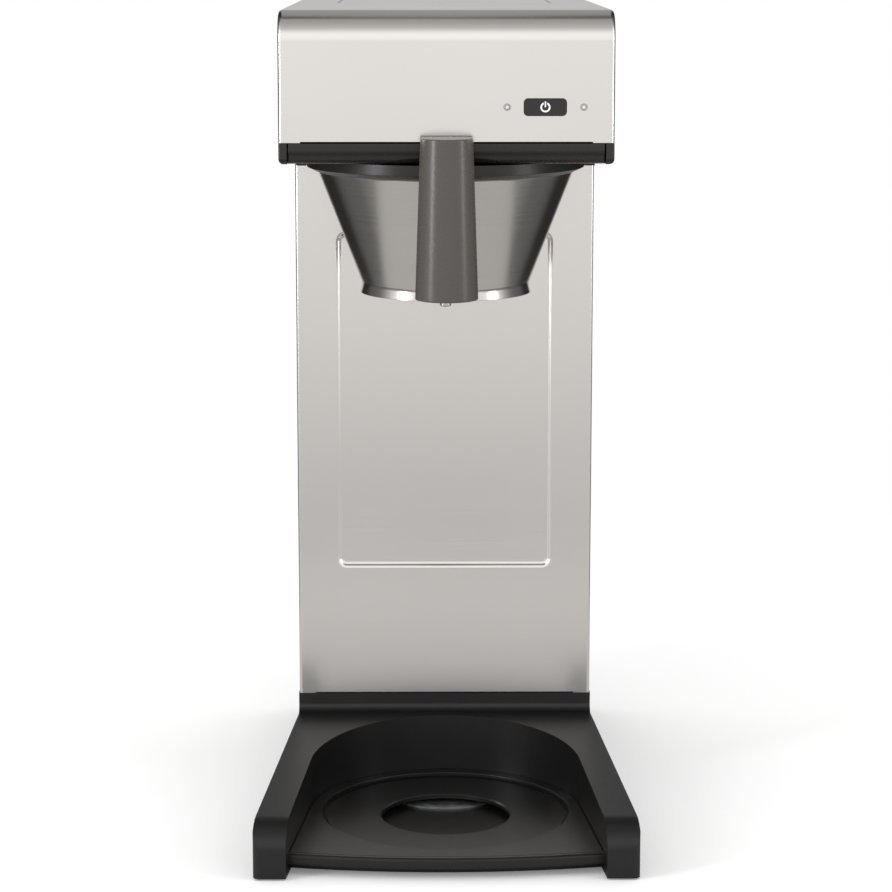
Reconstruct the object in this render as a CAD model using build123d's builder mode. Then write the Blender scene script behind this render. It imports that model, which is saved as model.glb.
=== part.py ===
from build123d import *
import os
from math import acos, atan2, cos, hypot, sin, tan

# Coffee maker with a steel head and column, a black base and a pull-out filter basket.
# Millimetres. The origin is on the floor, at the middle of the footprint. +X is to the
# right of someone standing in front, -Y is the front and +Z is up.

os.makedirs("parts", exist_ok=True)

# Overall places
rear_y = 202.5
base_front_y = -184.5
head_front_y = -170.5
column_front_y = 12.5
basket_axis_y = -86.5
head_top_z = 531.0
head_height = 91.0

# Clearances
fit = 0.05
seam = 0.3
sheet = 1.0

# Base
floor_gap = 1.2
base_front_half = 120.0
base_rear_half = 99.4
flare_end_y = 5.0
arm_front_z = 35.0
arm_rear_z = 52.7
ledge_top_z = 64.5
arm_nose_radius = 18.0
ledge_foot_radius = 5.0
base_corner_radius = 4.0
base_wall = 2.5
recess_radius = 88.3
arm_front_width = 20.65
deck_z = 14.0
deck_thickness = 3.0
floor_thickness = 3.0
deck_opening_radius = 80.0
groove_width = 2.6
groove_depth = 1.0
centre_hole_radius = 41.5
centre_hole_bevel = 0.8
lip_setback = 10.0
lip_bow = 10.0
lip_bottom_z = 7.0
lip_width = 4.0
lip_edge_radius = 1.8
lip_undercut = 12.0
cover_thickness = 2.6
chassis_thickness = 1.2
chassis_side_gap = 19.4
chassis_front_y = 20.0
chassis_rear_gap = 10.0
tongue_radius = 46.0
tongue_front_y = -55.0
passage_side_gap = 29.4
passage_front_gap = 22.0
passage_rear_gap = 22.0
foot_radius = 6.5
foot_pin_radius = 2.5
foot_pin_length = 3.4
front_foot_inset = 12.0
front_foot_setback = 16.5
rear_foot_inset = 15.4
rear_foot_setback = 18.5
boss_radius = 4.5
screw_radius = 1.75
screw_head_radius = 3.5
screw_head_height = 1.5
screw_length = 10.0
front_boss_inset = 13.5
front_boss_setback = 39.5
rear_boss_inset = 11.4
rear_boss_setback = 37.5

# Column
column_inset = 0.4
column_corner_radius = 2.0
emboss_half = 71.5
emboss_bottom_z = 153.0
emboss_top_drop = 60.0
emboss_radius = 5.5
emboss_depth = 1.5
emboss_bevel = 2.8
flange_width = 12.0
panel_inset = 2.0
panel_screw_inset = 8.0
panel_screw_margin = 25.0
tab_width = 11.0
notch_height = 0.7
vent_width = 70.0
vent_height = 3.0
vent_pitch = 9.0
vent_count = 9
vent_drop = 110.0

# Mains inlet
inlet_x = -52.0
inlet_z = 100.0
inlet_flange_width = 48.0
inlet_flange_height = 26.0
inlet_corner_radius = 3.0
inlet_body_width = 27.0
inlet_body_height = 19.6
inlet_body_depth = 18.0
inlet_wall = 1.6
pin_width = 2.0
pin_height = 4.0
pin_length = 13.0
pin_pitch = 7.0
pin_rise = 2.0

# Head
head_overhang = 1.0
head_nose_radius = 18.0
head_corner_radius = 2.5
band_height = 12.6
band_depth = 8.0
side_trim_width = 5.0
band_gap = 0.9
band_foot_radius = 2.0
head_tab_width = 13.0
tray_floor = 3.0
tray_wall = 2.5
tray_rear_rise = 19.0
spray_opening_radius = 50.0
cover_screw_x = 70.0
cover_screw_rise = 11.0

# Fill lid
lid_half = 70.0
lid_front_y = 25.0
lid_setback = 53.0
lid_gap = 0.6
lid_rear_gap = 2.5
lid_thickness = 1.2
lid_corner_radius = 6.0
lid_rear_corner_radius = 2.0
lid_notch_radius = 9.0
hinge_inset = 3.5
hinge_drop = 5.0
hinge_pin_radius = 1.5
hinge_running = 0.1
lug_width = 4.0
lug_reach = 3.5
bracket_gap = 2.0
shelf_reach = 3.4
shelf_thickness = 2.0

# Tank
tank_side_gap = 20.0
tank_front_y = -15.0
tank_rear_gap = 17.5
tank_lift = 26.0
tank_drop = 19.0
tank_wall = 2.5
tank_corner_radius = 8.0
post_radius = 5.0
post_inset = 14.0
strainer_flange = 2.0
strainer_half = 58.0
strainer_front_y = 32.0
strainer_rear_gap = 11.5
strainer_depth = 17.0
strainer_hole_radius = 2.5
strainer_pitch = 14.0
strainer_columns = 7
strainer_rows = 6

# Water path
hose_x = 50.0
water_y = 110.0
hose_outer_radius = 6.5
hose_bore_radius = 4.5
spigot_bore_radius = 3.4
spigot_length = 18.0
hose_overlap = 14.0
valve_radius = 9.0
valve_middle_z = 115.0
valve_body_half = 7.0
transfer_low_z = 40.0
transfer_bend = 16.0
riser_rise = 16.0
riser_bend = 12.5
clamp_thickness = 1.2
clamp_width = 5.0

# Heater
heater_half = 28.0
heater_depth = 32.0
heater_bottom_z = 95.0
heater_top_z = 255.0
heater_front_gap = 15.0
heater_corner_radius = 5.0
tube_reach = 20.0
element_radius = 3.2
element_x = 16.0
element_offset = 11.5
element_reach = 14.0
bracket_thickness = 1.5
bracket_half = 34.0
bracket_top_z = 210.0
bracket_foot = 22.0
thermostat_radius = 9.0
thermostat_height = 8.0
thermostat_z = 205.0
fuse_radius = 2.5
fuse_length = 20.0
fuse_z = 150.0
terminal_width = 32.0
terminal_depth = 18.0
terminal_height = 16.0
terminal_hole_radius = 2.5
terminal_pitch = 10.6
terminal_x = -50.0
earth_x = 60.0
terminal_setback = 37.5

# Spray head
spray_flange_radius = 54.0
spray_flange_height = 3.0
spray_dome_radius = 24.0
spray_dome_rise = 23.0
spray_spigot_y = -44.0
spray_plate_radius = 49.0
spray_plate_height = 2.0
spray_hole_radius = 1.2
spray_ring_radii = (12.0, 24.0, 36.0)
spray_ring_counts = (6, 12, 18)

# Controls
button_x = 58.6
button_rise = 21.2
button_width = 25.2
button_height = 10.0
button_radius = 2.4
button_proud = 1.0
button_depth = 7.5
button_gap = 0.25
button_flange = 1.4
button_travel = 1.5
symbol_radius = 3.0
symbol_stroke = 1.0
symbol_bar = 0.8
symbol_depth = 0.25
plunger_radius = 2.0
plunger_length = 7.0
plunger_running = 0.1
light_left_x = 36.0
light_right_x = 81.5
light_radius = 2.15
light_pipe_radius = 1.4
light_proud = 0.6
light_flange_radius = 3.2
board_y = -146.0
board_thickness = 1.6
board_left_x = 26.0
board_side_gap = 9.0
board_rise = 10.0
board_drop = 39.0
control_foot = 11.0
switch_width = 18.0
switch_height = 12.0
switch_depth = 12.0

# Basket
cone_top_radius = 79.7
cone_foot_radius = 52.3
skirt_radius = 53.7
cone_top_drop = 10.0
cone_height = 70.4
skirt_height = 5.7
cone_sheet = 0.8
rim_gap = 0.6
rim_radius = 86.7
rim_bore_radius = 80.1
rim_height = 6.4
rim_lip_width = 3.5
runner_half = 91.0
runner_front_y = -92.0
runner_rear_y = -6.0
runner_height = 3.4
rail_front_y = -85.0
rail_rear_y = 10.0
rail_gap = 0.5
rail_lip = 2.0
rail_web = 2.0
rail_lip_gap = 0.4
spout_radius = 3.65
spout_bore_radius = 2.4
spout_reach = 15.6
spout_flange_radius = 8.0
spout_flange_height = 1.2
nut_radius = 7.0
nut_height = 3.2
grid_radius = 46.0
grid_thickness = 1.5
grid_hole_radius = 3.0
grid_ring_radii = (16.0, 26.0, 36.0)
grid_ring_counts = (6, 10, 14)
handle_drop = 79.0
handle_rise = 17.0
handle_bottom_half = 18.75
handle_top_half = 15.65
handle_front_y = -202.5
handle_rear_y = -174.0
handle_bulge = 15.6
handle_wall = 3.0
handle_shelf = 8.0
handle_edge_radius = 1.0
tab_half = 9.0
tab_height = 4.4
tab_front_y = -194.0
tab_screw_front_y = -189.0
tab_screw_rear_y = -179.0
tab_screw_length = 9.0

# Worked out from the sizes above
column_top_z = head_top_z - head_height
column_half = base_rear_half - column_inset
head_half = column_half + head_overhang
front_foot_x = base_front_half - front_foot_inset
front_foot_y = base_front_y + front_foot_setback
rear_foot_x = base_rear_half - rear_foot_inset
rear_foot_y = rear_y - rear_foot_setback
front_boss_x = base_front_half - front_boss_inset
front_boss_y = base_front_y + front_boss_setback
rear_boss_x = base_rear_half - rear_boss_inset
rear_boss_y = rear_y - rear_boss_setback
recess_front_y = base_front_y - base_wall
recess_front_x = base_front_half - arm_front_width
recess_front_length = basket_axis_y - recess_front_y
recess_flare = (acos(recess_radius / hypot(recess_front_x, recess_front_length))
                - atan2(recess_front_length, recess_front_x))
lip_side_y = base_front_y + lip_setback
chassis_half = base_rear_half - chassis_side_gap
passage_half = base_rear_half - passage_side_gap
emboss_top_z = column_top_z - emboss_top_drop
panel_screw_x = column_half - panel_screw_inset
vent_middle_z = column_top_z - vent_drop
shell_floor_z = deck_z - deck_thickness
cover_top_z = floor_gap + cover_thickness
chassis_top_z = cover_top_z + chassis_thickness
panel_rear_y = rear_y - panel_inset
panel_front_y = panel_rear_y - sheet
band_top_z = column_top_z + band_height
steel_bottom_z = band_top_z + seam
tray_floor_top_z = column_top_z + tray_floor
tray_half = head_half - side_trim_width - seam
tray_front_y = head_front_y + band_depth + seam
tray_rear_y = rear_y - sheet - seam
steel_inner_y = head_front_y + sheet
lid_rear_y = rear_y - lid_setback
lid_bottom_z = head_top_z - lid_thickness
hinge_y = lid_rear_y - hinge_inset
hinge_z = head_top_z - hinge_drop
tank_half = head_half - tank_side_gap
tank_rear_y = rear_y - tank_rear_gap
tank_bottom_z = column_top_z + tank_lift
tank_top_z = head_top_z - tank_drop
strainer_rear_y = lid_rear_y - strainer_rear_gap
riser_high_z = column_top_z + riser_rise
spray_dome_top_z = column_top_z + spray_dome_rise
button_z = steel_bottom_z + button_rise
board_right_x = head_half - board_side_gap
board_bottom_z = column_top_z + board_rise
board_top_z = head_top_z - board_drop
terminal_y = rear_y - terminal_setback
board_front_y = board_y - board_thickness
spigot_radius = hose_bore_radius - fit
valve_top_z = valve_middle_z + valve_body_half + spigot_length
valve_bottom_z = valve_middle_z - valve_body_half - spigot_length
tube_bottom_z = heater_bottom_z - tube_reach
tube_top_z = heater_top_z + tube_reach
heater_front_y = water_y - heater_front_gap
heater_rear_y = heater_front_y + heater_depth
cone_top_z = column_top_z - cone_top_drop
cone_foot_z = cone_top_z - cone_height
skirt_bottom_z = cone_foot_z - skirt_height
spout_tip_z = cone_foot_z - spout_reach
handle_bottom_z = column_top_z - handle_drop
handle_top_z = column_top_z + handle_rise
rim_top_z = column_top_z - rim_gap
rim_bottom_z = rim_top_z - rim_height
rim_seat_z = rim_top_z - cone_sheet
cone_floor_z = cone_foot_z + cone_sheet
runner_top_z = rim_top_z - sheet
runner_bottom_z = runner_top_z - runner_height
tab_top_z = rim_seat_z
tab_bottom_z = tab_top_z - tab_height


def roof_z(y):
    """Height of the sloping top of the base at a place from front to rear."""
    share = (y - base_front_y) / (column_front_y - base_front_y)
    return arm_front_z + (arm_rear_z - arm_front_z) * share


def base_plan(inset=0.0):
    """Plan of the base, straight at the rear and flaring towards the front."""
    flare = atan2(base_front_half - base_rear_half, flare_end_y - base_front_y)
    front_y = base_front_y + inset
    front_x = base_front_half - inset * tan(flare) - inset / cos(flare)
    bend_x = base_rear_half - inset
    bend_y = front_y + (front_x - bend_x) / tan(flare)
    with BuildSketch() as plan:
        with BuildLine():
            Polyline(
                (-front_x, front_y),
                (front_x, front_y),
                (bend_x, bend_y),
                (bend_x, rear_y - inset),
                (-bend_x, rear_y - inset),
                (-bend_x, bend_y),
                close=True,
            )
        make_face()
        corners = plan.vertices().group_by(Axis.Y)
        fillet(corners[0] + corners[-1], radius=base_corner_radius - inset)
    return plan.sketch


def base_side(inset=0.0):
    """Side view of the base: rounded nose, sloping arms and the ledge under the column."""
    with BuildSketch(Plane.YZ.offset(-base_front_half - base_wall)) as side:
        with BuildLine():
            Polyline(
                (base_front_y + inset, 0),
                (base_front_y + inset, roof_z(base_front_y) - inset),
                (column_front_y + inset, roof_z(column_front_y) - inset),
                (column_front_y + inset, ledge_top_z - inset),
                (rear_y - inset, ledge_top_z - inset),
                (rear_y - inset, 0),
                close=True,
            )
        make_face()
        columns = side.vertices().group_by(Axis.X)
        fillet(columns[0].sort_by(Axis.Y)[-1], radius=arm_nose_radius - inset)
        fillet(side.vertices().filter_by_position(Axis.X, column_front_y + inset - seam,
               column_front_y + inset + seam).sort_by(Axis.Y)[0], radius=ledge_foot_radius)
    return side.sketch


def recess_plan(margin=0.0):
    """Plan of the recess between the arms: a circle whose tangents flare to the front."""
    radius = recess_radius + margin
    side_x = radius * cos(recess_flare)
    side_y = basket_axis_y + radius * sin(recess_flare)
    front_x = side_x + (side_y - recess_front_y) * tan(recess_flare)
    with BuildSketch() as plan:
        with Locations((0, basket_axis_y)):
            Circle(radius)
        with BuildLine():
            Polyline((-side_x, side_y), (-front_x, recess_front_y), (front_x, recess_front_y),
                     (side_x, side_y), close=True)
        make_face()
    return plan.sketch


def ahead_of_lip(setback=0.0, margin=0.0):
    """Plan of the space between the arms in front of the lip's bowed line."""
    outer_y = base_front_y - 2 * base_wall
    side_y = lip_side_y + setback
    with BuildSketch() as area:
        add(recess_plan(margin))
        with BuildLine():
            ThreePointArc((-base_rear_half, side_y), (0, side_y - lip_bow), (base_rear_half, side_y))
            Polyline((base_rear_half, side_y), (base_front_half, side_y), (base_front_half, outer_y),
                     (-base_front_half, outer_y), (-base_front_half, side_y), (-base_rear_half, side_y))
        make_face(mode=Mode.INTERSECT)
    return area.sketch


def front_plane(y):
    """A plane that faces the front, with its own X to the right and its own Y up."""
    return Plane.XZ.offset(-y)


def save(builder, name):
    """Label a finished piece and write it."""
    builder.part.label = name
    export_step(builder.part, f"parts/{name}.step")


def pan_screws(places, turn, length, head=screw_head_radius, shank=screw_radius):
    """Pan-head screws: each place is under a head, and the turned Z axis points out of it."""
    with Locations(*[Location(place, turn) for place in places]):
        Cylinder(head, screw_head_height, align=(Align.CENTER, Align.CENTER, Align.MIN))
        Cylinder(shank, length, align=(Align.CENTER, Align.CENTER, Align.MAX))


def upright_tube(x, y, outer, bore, low, high):
    """A round tube that stands upright."""
    with BuildSketch(Plane.XY.offset(low)) as ring:
        with Locations((x, y)):
            Circle(outer)
            Circle(bore, mode=Mode.SUBTRACT)
    extrude(ring.sketch, amount=high - low)


foot_places = [(x, y) for y, x in ((front_foot_y, front_foot_x), (rear_foot_y, rear_foot_x))
               for x in (-x, x)]
boss_places = [(x, y) for y, x in ((front_boss_y, front_boss_x), (rear_boss_y, rear_boss_x))
               for x in (-x, x)]

# Base shell: hollow from below, with the recess for the flask and the bowed front lip
with BuildPart() as base_hollow:
    extrude(base_plan(base_wall), amount=ledge_top_z)
    extrude(base_side(base_wall), amount=2 * (base_front_half + base_wall), mode=Mode.INTERSECT)
    with BuildSketch(Plane.XY.offset(shell_floor_z - floor_thickness)):
        add(recess_plan(base_wall))
    extrude(amount=ledge_top_z, mode=Mode.SUBTRACT)
    with BuildSketch():
        add(ahead_of_lip(lip_undercut + base_wall, base_wall))
    extrude(amount=ledge_top_z, mode=Mode.SUBTRACT)
    for boss_x, boss_y in boss_places:
        with BuildSketch(Plane.XY.offset(cover_top_z)):
            with Locations((boss_x, boss_y)):
                Circle(boss_radius)
        extrude(amount=ledge_top_z, mode=Mode.SUBTRACT)

with BuildPart() as base_shell:
    with BuildSketch(Plane.XY.offset(floor_gap)):
        add(base_plan())
    extrude(amount=ledge_top_z)
    extrude(base_side(), amount=2 * (base_front_half + base_wall), mode=Mode.INTERSECT)
    with BuildSketch(Plane.XY.offset(shell_floor_z)):
        add(recess_plan())
    extrude(amount=ledge_top_z, mode=Mode.SUBTRACT)
    with BuildSketch(Plane.XY.offset(lip_bottom_z)):
        add(ahead_of_lip(lip_width))
    extrude(amount=deck_z - lip_bottom_z)
    extrude(ahead_of_lip(), amount=ledge_top_z, mode=Mode.SUBTRACT)
    extrude(ahead_of_lip(lip_undercut), amount=lip_bottom_z, mode=Mode.SUBTRACT)
    add(base_hollow.part, mode=Mode.SUBTRACT)
    with BuildSketch(Plane.XY.offset(shell_floor_z)):
        with Locations((0, basket_axis_y)):
            Circle(centre_hole_radius)
    extrude(amount=-floor_thickness, mode=Mode.SUBTRACT)
    with BuildSketch(Plane.XY.offset(shell_floor_z)):
        with Locations((0, basket_axis_y)):
            Circle(deck_opening_radius)
            Circle(deck_opening_radius - groove_width, mode=Mode.SUBTRACT)
    extrude(amount=-groove_depth, mode=Mode.SUBTRACT)
    with BuildSketch(Plane.XY.offset(ledge_top_z)):
        with Locations((0, (column_front_y + passage_front_gap + rear_y - passage_rear_gap) / 2)):
            Rectangle(2 * passage_half,
                      rear_y - passage_rear_gap - column_front_y - passage_front_gap)
    extrude(amount=-2 * base_wall, mode=Mode.SUBTRACT)
    hole_rims = base_shell.edges().filter_by(GeomType.CIRCLE).filter_by(
        lambda edge: abs(edge.radius - centre_hole_radius) < fit)
    chamfer(hole_rims.sort_by(Axis.Z)[-1], length=centre_hole_bevel)
    bowed_edges = base_shell.edges().filter_by(GeomType.CIRCLE).filter_by(
        lambda edge: edge.radius > base_front_half)
    fillet(bowed_edges.sort_by(Axis.Y)[:2], radius=lip_edge_radius)
    for boss_x, boss_y in boss_places:
        with BuildSketch(Plane.XY.offset(cover_top_z)):
            with Locations((boss_x, boss_y)):
                Circle(screw_radius)
        extrude(amount=screw_length, mode=Mode.SUBTRACT)
save(base_shell, "base_shell")

# Deck plate around the flask's place
with BuildPart() as deck_plate:
    with BuildSketch(Plane.XY.offset(shell_floor_z)):
        add(recess_plan(-seam))
        add(ahead_of_lip(lip_width + seam, base_wall), mode=Mode.SUBTRACT)
        with Locations((0, basket_axis_y)):
            Circle(deck_opening_radius, mode=Mode.SUBTRACT)
    extrude(amount=deck_thickness)
save(deck_plate, "deck_plate")

# Bottom cover under the whole base
with BuildPart() as bottom_cover:
    with BuildSketch(Plane.XY.offset(floor_gap)):
        add(base_plan(base_wall + seam))
        add(ahead_of_lip(lip_undercut + base_wall + seam, base_wall + seam), mode=Mode.SUBTRACT)
        with Locations(*foot_places):
            Circle(foot_pin_radius + fit, mode=Mode.SUBTRACT)
        with Locations(*boss_places):
            Circle(screw_radius + fit, mode=Mode.SUBTRACT)
    extrude(amount=cover_thickness)
    with BuildSketch(Plane.XY.offset(floor_gap)):
        with Locations(*boss_places):
            Circle(screw_head_radius + seam)
    extrude(amount=screw_head_height, mode=Mode.SUBTRACT)
save(bottom_cover, "bottom_cover")

# Chassis plate with the rounded tongue that shows in the centre hole
with BuildPart() as chassis_plate:
    with BuildSketch(Plane.XY.offset(cover_top_z)):
        with Locations((0, chassis_front_y)):
            Rectangle(2 * chassis_half, rear_y - chassis_rear_gap - chassis_front_y,
                      align=(Align.CENTER, Align.MIN))
        with Locations((0, tongue_front_y + tongue_radius)):
            Circle(tongue_radius)
            Rectangle(2 * tongue_radius, chassis_front_y - tongue_front_y - tongue_radius + seam,
                      align=(Align.CENTER, Align.MIN))
    extrude(amount=chassis_thickness)
    with Locations((earth_x, terminal_y, chassis_top_z)):
        Hole(screw_radius, depth=chassis_thickness)
save(chassis_plate, "chassis_plate")

# Rubber feet pressed into the bottom cover
with BuildPart() as rubber_feet:
    with BuildSketch():
        with Locations(*foot_places):
            Circle(foot_radius)
    extrude(amount=floor_gap)
    with BuildSketch(Plane.XY.offset(floor_gap)):
        with Locations(*foot_places):
            Circle(foot_pin_radius)
    extrude(amount=foot_pin_length)
save(rubber_feet, "rubber_feet")

# Screws that hold the bottom cover
with BuildPart() as base_screws:
    pan_screws([(x, y, floor_gap + screw_head_height) for x, y in boss_places], (180, 0, 0),
               cover_thickness - screw_head_height + screw_length - seam)
save(base_screws, "base_screws")

# Column shell: folded steel with a pressed rectangle on its front
with BuildPart() as column_shell:
    column_height = column_top_z - ledge_top_z
    with BuildSketch(Plane.XY.offset(ledge_top_z)):
        with Locations((0, column_front_y)):
            Rectangle(2 * column_half, rear_y - column_front_y, align=(Align.CENTER, Align.MIN))
    extrude(amount=column_height)
    fillet(column_shell.edges().filter_by(Axis.Z).group_by(Axis.Y)[0], radius=column_corner_radius)
    with BuildSketch(Plane.XY.offset(ledge_top_z)) as column_inside:
        with Locations((0, column_front_y + sheet)):
            Rectangle(2 * (column_half - sheet), rear_y - column_front_y,
                      align=(Align.CENTER, Align.MIN))
        fillet(column_inside.vertices().group_by(Axis.Y)[0], radius=column_corner_radius - sheet)
    extrude(amount=column_height, mode=Mode.SUBTRACT)
    with BuildSketch(Plane.XY.offset(ledge_top_z)):
        for side in (-1, 1):
            with Locations((side * (column_half - (flange_width + sheet) / 2), panel_front_y - sheet / 2)):
                Rectangle(flange_width + sheet, sheet)
    extrude(amount=column_height)
    emboss_middle_z = (emboss_bottom_z + emboss_top_z) / 2
    emboss_height = emboss_top_z - emboss_bottom_z
    with BuildSketch(front_plane(column_front_y + sheet + emboss_depth)):
        with Locations((0, emboss_middle_z)):
            RectangleRounded(2 * (emboss_half + sheet), emboss_height + 2 * sheet, emboss_radius + sheet)
    extrude(amount=emboss_depth + sheet / 2)
    with BuildSketch(front_plane(column_front_y)):
        with Locations((0, emboss_middle_z)):
            RectangleRounded(2 * emboss_half, emboss_height, emboss_radius)
    with BuildSketch(front_plane(column_front_y + emboss_depth)):
        with Locations((0, emboss_middle_z)):
            RectangleRounded(2 * (emboss_half - emboss_bevel), emboss_height - 2 * emboss_bevel,
                             emboss_radius - emboss_bevel)
    loft(mode=Mode.SUBTRACT)
    with BuildSketch(front_plane(column_front_y)):
        with Locations((0, ledge_top_z)):
            Rectangle(2 * (column_half - tab_width), notch_height, align=(Align.CENTER, Align.MIN))
    extrude(amount=-sheet, mode=Mode.SUBTRACT)
    for z in (ledge_top_z + panel_screw_margin, column_top_z - panel_screw_margin):
        with Locations(*[Location((x, panel_front_y, z), (-90, 0, 0))
                         for x in (-panel_screw_x, panel_screw_x)]):
            Hole(screw_radius, depth=sheet)
save(column_shell, "column_shell")

# Rear panel with vent slots
with BuildPart() as rear_panel:
    panel_bottom_z = ledge_top_z + seam
    panel_top_z = column_top_z - seam
    with BuildSketch(front_plane(panel_rear_y)):
        with Locations((0, panel_bottom_z)):
            Rectangle(2 * (column_half - sheet - seam), panel_top_z - panel_bottom_z,
                      align=(Align.CENTER, Align.MIN))
        with Locations((0, vent_middle_z)):
            with GridLocations(1, vent_pitch, 1, vent_count):
                SlotOverall(vent_width, vent_height, mode=Mode.SUBTRACT)
        with Locations((inlet_x, inlet_z)):
            Rectangle(inlet_body_width + 2 * fit, inlet_body_height + 2 * fit, mode=Mode.SUBTRACT)
        for z in (ledge_top_z + panel_screw_margin, column_top_z - panel_screw_margin):
            with Locations((-panel_screw_x, z), (panel_screw_x, z)):
                Circle(screw_radius + fit, mode=Mode.SUBTRACT)
    extrude(amount=sheet)
save(rear_panel, "rear_panel")

# Screws of the rear panel
with BuildPart() as rear_panel_screws:
    pan_screws([(x, panel_rear_y, z) for x in (-panel_screw_x, panel_screw_x)
                for z in (ledge_top_z + panel_screw_margin, column_top_z - panel_screw_margin)],
               (-90, 0, 0), 3 * sheet, shank=screw_radius - fit)
save(rear_panel_screws, "rear_panel_screws")

# Mains inlet, a socket for a lead that unplugs
with BuildPart() as mains_inlet:
    with BuildSketch(front_plane(rear_y)):
        with Locations((inlet_x, inlet_z)):
            RectangleRounded(inlet_flange_width, inlet_flange_height, inlet_corner_radius)
    extrude(amount=panel_inset)
    with BuildSketch(front_plane(panel_rear_y)):
        with Locations((inlet_x, inlet_z)):
            Rectangle(inlet_body_width, inlet_body_height)
    extrude(amount=inlet_body_depth)
    with BuildSketch(front_plane(rear_y)):
        with Locations((inlet_x, inlet_z)):
            Rectangle(inlet_body_width - 2 * inlet_wall, inlet_body_height - 2 * inlet_wall)
    extrude(amount=inlet_body_depth + panel_inset - 2 * inlet_wall, mode=Mode.SUBTRACT)
save(mains_inlet, "mains_inlet")

# Contact pins of the mains inlet
with BuildPart() as inlet_pins:
    pin_root_y = panel_rear_y - inlet_body_depth + 2 * inlet_wall
    with BuildSketch(front_plane(pin_root_y)):
        with Locations((inlet_x - pin_pitch, inlet_z - pin_rise), (inlet_x + pin_pitch, inlet_z - pin_rise),
                       (inlet_x, inlet_z + pin_rise)):
            Rectangle(pin_width, pin_height)
    extrude(amount=-pin_length)
save(inlet_pins, "inlet_pins")

# Terminal block and earth screw on the chassis
with BuildPart() as terminal_block:
    with BuildSketch(Plane.XY.offset(chassis_top_z)):
        with Locations((terminal_x, terminal_y)):
            Rectangle(terminal_width, terminal_depth)
    extrude(amount=terminal_height)
    with BuildSketch(Plane.XY.offset(chassis_top_z + terminal_height)):
        with Locations((terminal_x, terminal_y)):
            with GridLocations(terminal_pitch, 1, 3, 1):
                Circle(terminal_hole_radius)
    extrude(amount=-terminal_height / 2, mode=Mode.SUBTRACT)
save(terminal_block, "terminal_block")

with BuildPart() as earth_screw:
    pan_screws([(earth_x, terminal_y, chassis_top_z)], (0, 0, 0), chassis_thickness,
               shank=screw_radius - fit)
save(earth_screw, "earth_screw")

# Heater: block, water tube, element, bracket and its screws
with BuildPart() as heater_block:
    with BuildSketch(Plane.XY.offset(heater_bottom_z)):
        with Locations((0, (heater_front_y + heater_rear_y) / 2)):
            RectangleRounded(2 * heater_half, heater_depth, heater_corner_radius)
        with Locations((0, water_y)):
            Circle(spigot_radius + fit, mode=Mode.SUBTRACT)
        with Locations((-element_x, water_y + element_offset), (element_x, water_y + element_offset)):
            Circle(element_radius + fit, mode=Mode.SUBTRACT)
    extrude(amount=heater_top_z - heater_bottom_z)
save(heater_block, "heater_block")

with BuildPart() as heater_tube:
    upright_tube(0, water_y, spigot_radius, spigot_bore_radius, tube_bottom_z, tube_top_z)
save(heater_tube, "heater_tube")

with BuildPart() as heater_element:
    element_y = water_y + element_offset
    with BuildLine():
        Line((-element_x, element_y, heater_top_z + element_reach), (-element_x, element_y, heater_bottom_z))
        ThreePointArc((-element_x, element_y, heater_bottom_z),
                      (0, element_y, heater_bottom_z - element_x),
                      (element_x, element_y, heater_bottom_z))
        Line((element_x, element_y, heater_bottom_z), (element_x, element_y, heater_top_z + element_reach))
    with BuildSketch(Plane.XY.offset(heater_top_z + element_reach)):
        with Locations((-element_x, element_y)):
            Circle(element_radius)
    sweep()
save(heater_element, "heater_element")

heater_screw_places = [(0, heater_rear_y + bracket_thickness, z)
                       for z in (heater_bottom_z + bracket_foot, bracket_top_z - bracket_foot)]
with BuildPart() as heater_bracket:
    with BuildSketch(front_plane(heater_rear_y + bracket_thickness)):
        with Locations((0, chassis_top_z)):
            Rectangle(2 * bracket_half, bracket_top_z - chassis_top_z, align=(Align.CENTER, Align.MIN))
    extrude(amount=bracket_thickness)
    with BuildSketch(Plane.XY.offset(chassis_top_z)):
        with Locations((0, heater_rear_y)):
            Rectangle(2 * bracket_half, bracket_foot, align=(Align.CENTER, Align.MIN))
    extrude(amount=bracket_thickness)
    with Locations(*[Location(place, (-90, 0, 0)) for place in heater_screw_places]):
        Hole(screw_radius + fit, depth=bracket_thickness)
save(heater_bracket, "heater_bracket")

with BuildPart() as heater_screws:
    pan_screws(heater_screw_places, (-90, 0, 0), bracket_thickness)
save(heater_screws, "heater_screws")

with BuildPart() as thermostat:
    with Locations(Location((0, heater_front_y, thermostat_z), (90, 0, 0))):
        Cylinder(thermostat_radius, thermostat_height, align=(Align.CENTER, Align.CENTER, Align.MIN))
save(thermostat, "thermostat")

with BuildPart() as thermal_fuse:
    with Locations(Location((0, heater_front_y - fuse_radius, fuse_z), (0, 90, 0))):
        Cylinder(fuse_radius, fuse_length)
save(thermal_fuse, "thermal_fuse")

# Water path: tank to check valve to heater to spray head
hose_top_z = tank_bottom_z - sheet
with BuildPart() as supply_hose:
    upright_tube(hose_x, water_y, hose_outer_radius, hose_bore_radius, valve_top_z - hose_overlap, hose_top_z)
save(supply_hose, "supply_hose")

with BuildPart() as check_valve:
    with BuildSketch(Plane.XY.offset(valve_middle_z - valve_body_half)):
        with Locations((hose_x, water_y)):
            Circle(valve_radius)
            Circle(spigot_bore_radius, mode=Mode.SUBTRACT)
    extrude(amount=2 * valve_body_half)
    upright_tube(hose_x, water_y, spigot_radius, spigot_bore_radius, valve_bottom_z, valve_top_z)
save(check_valve, "check_valve")

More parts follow.
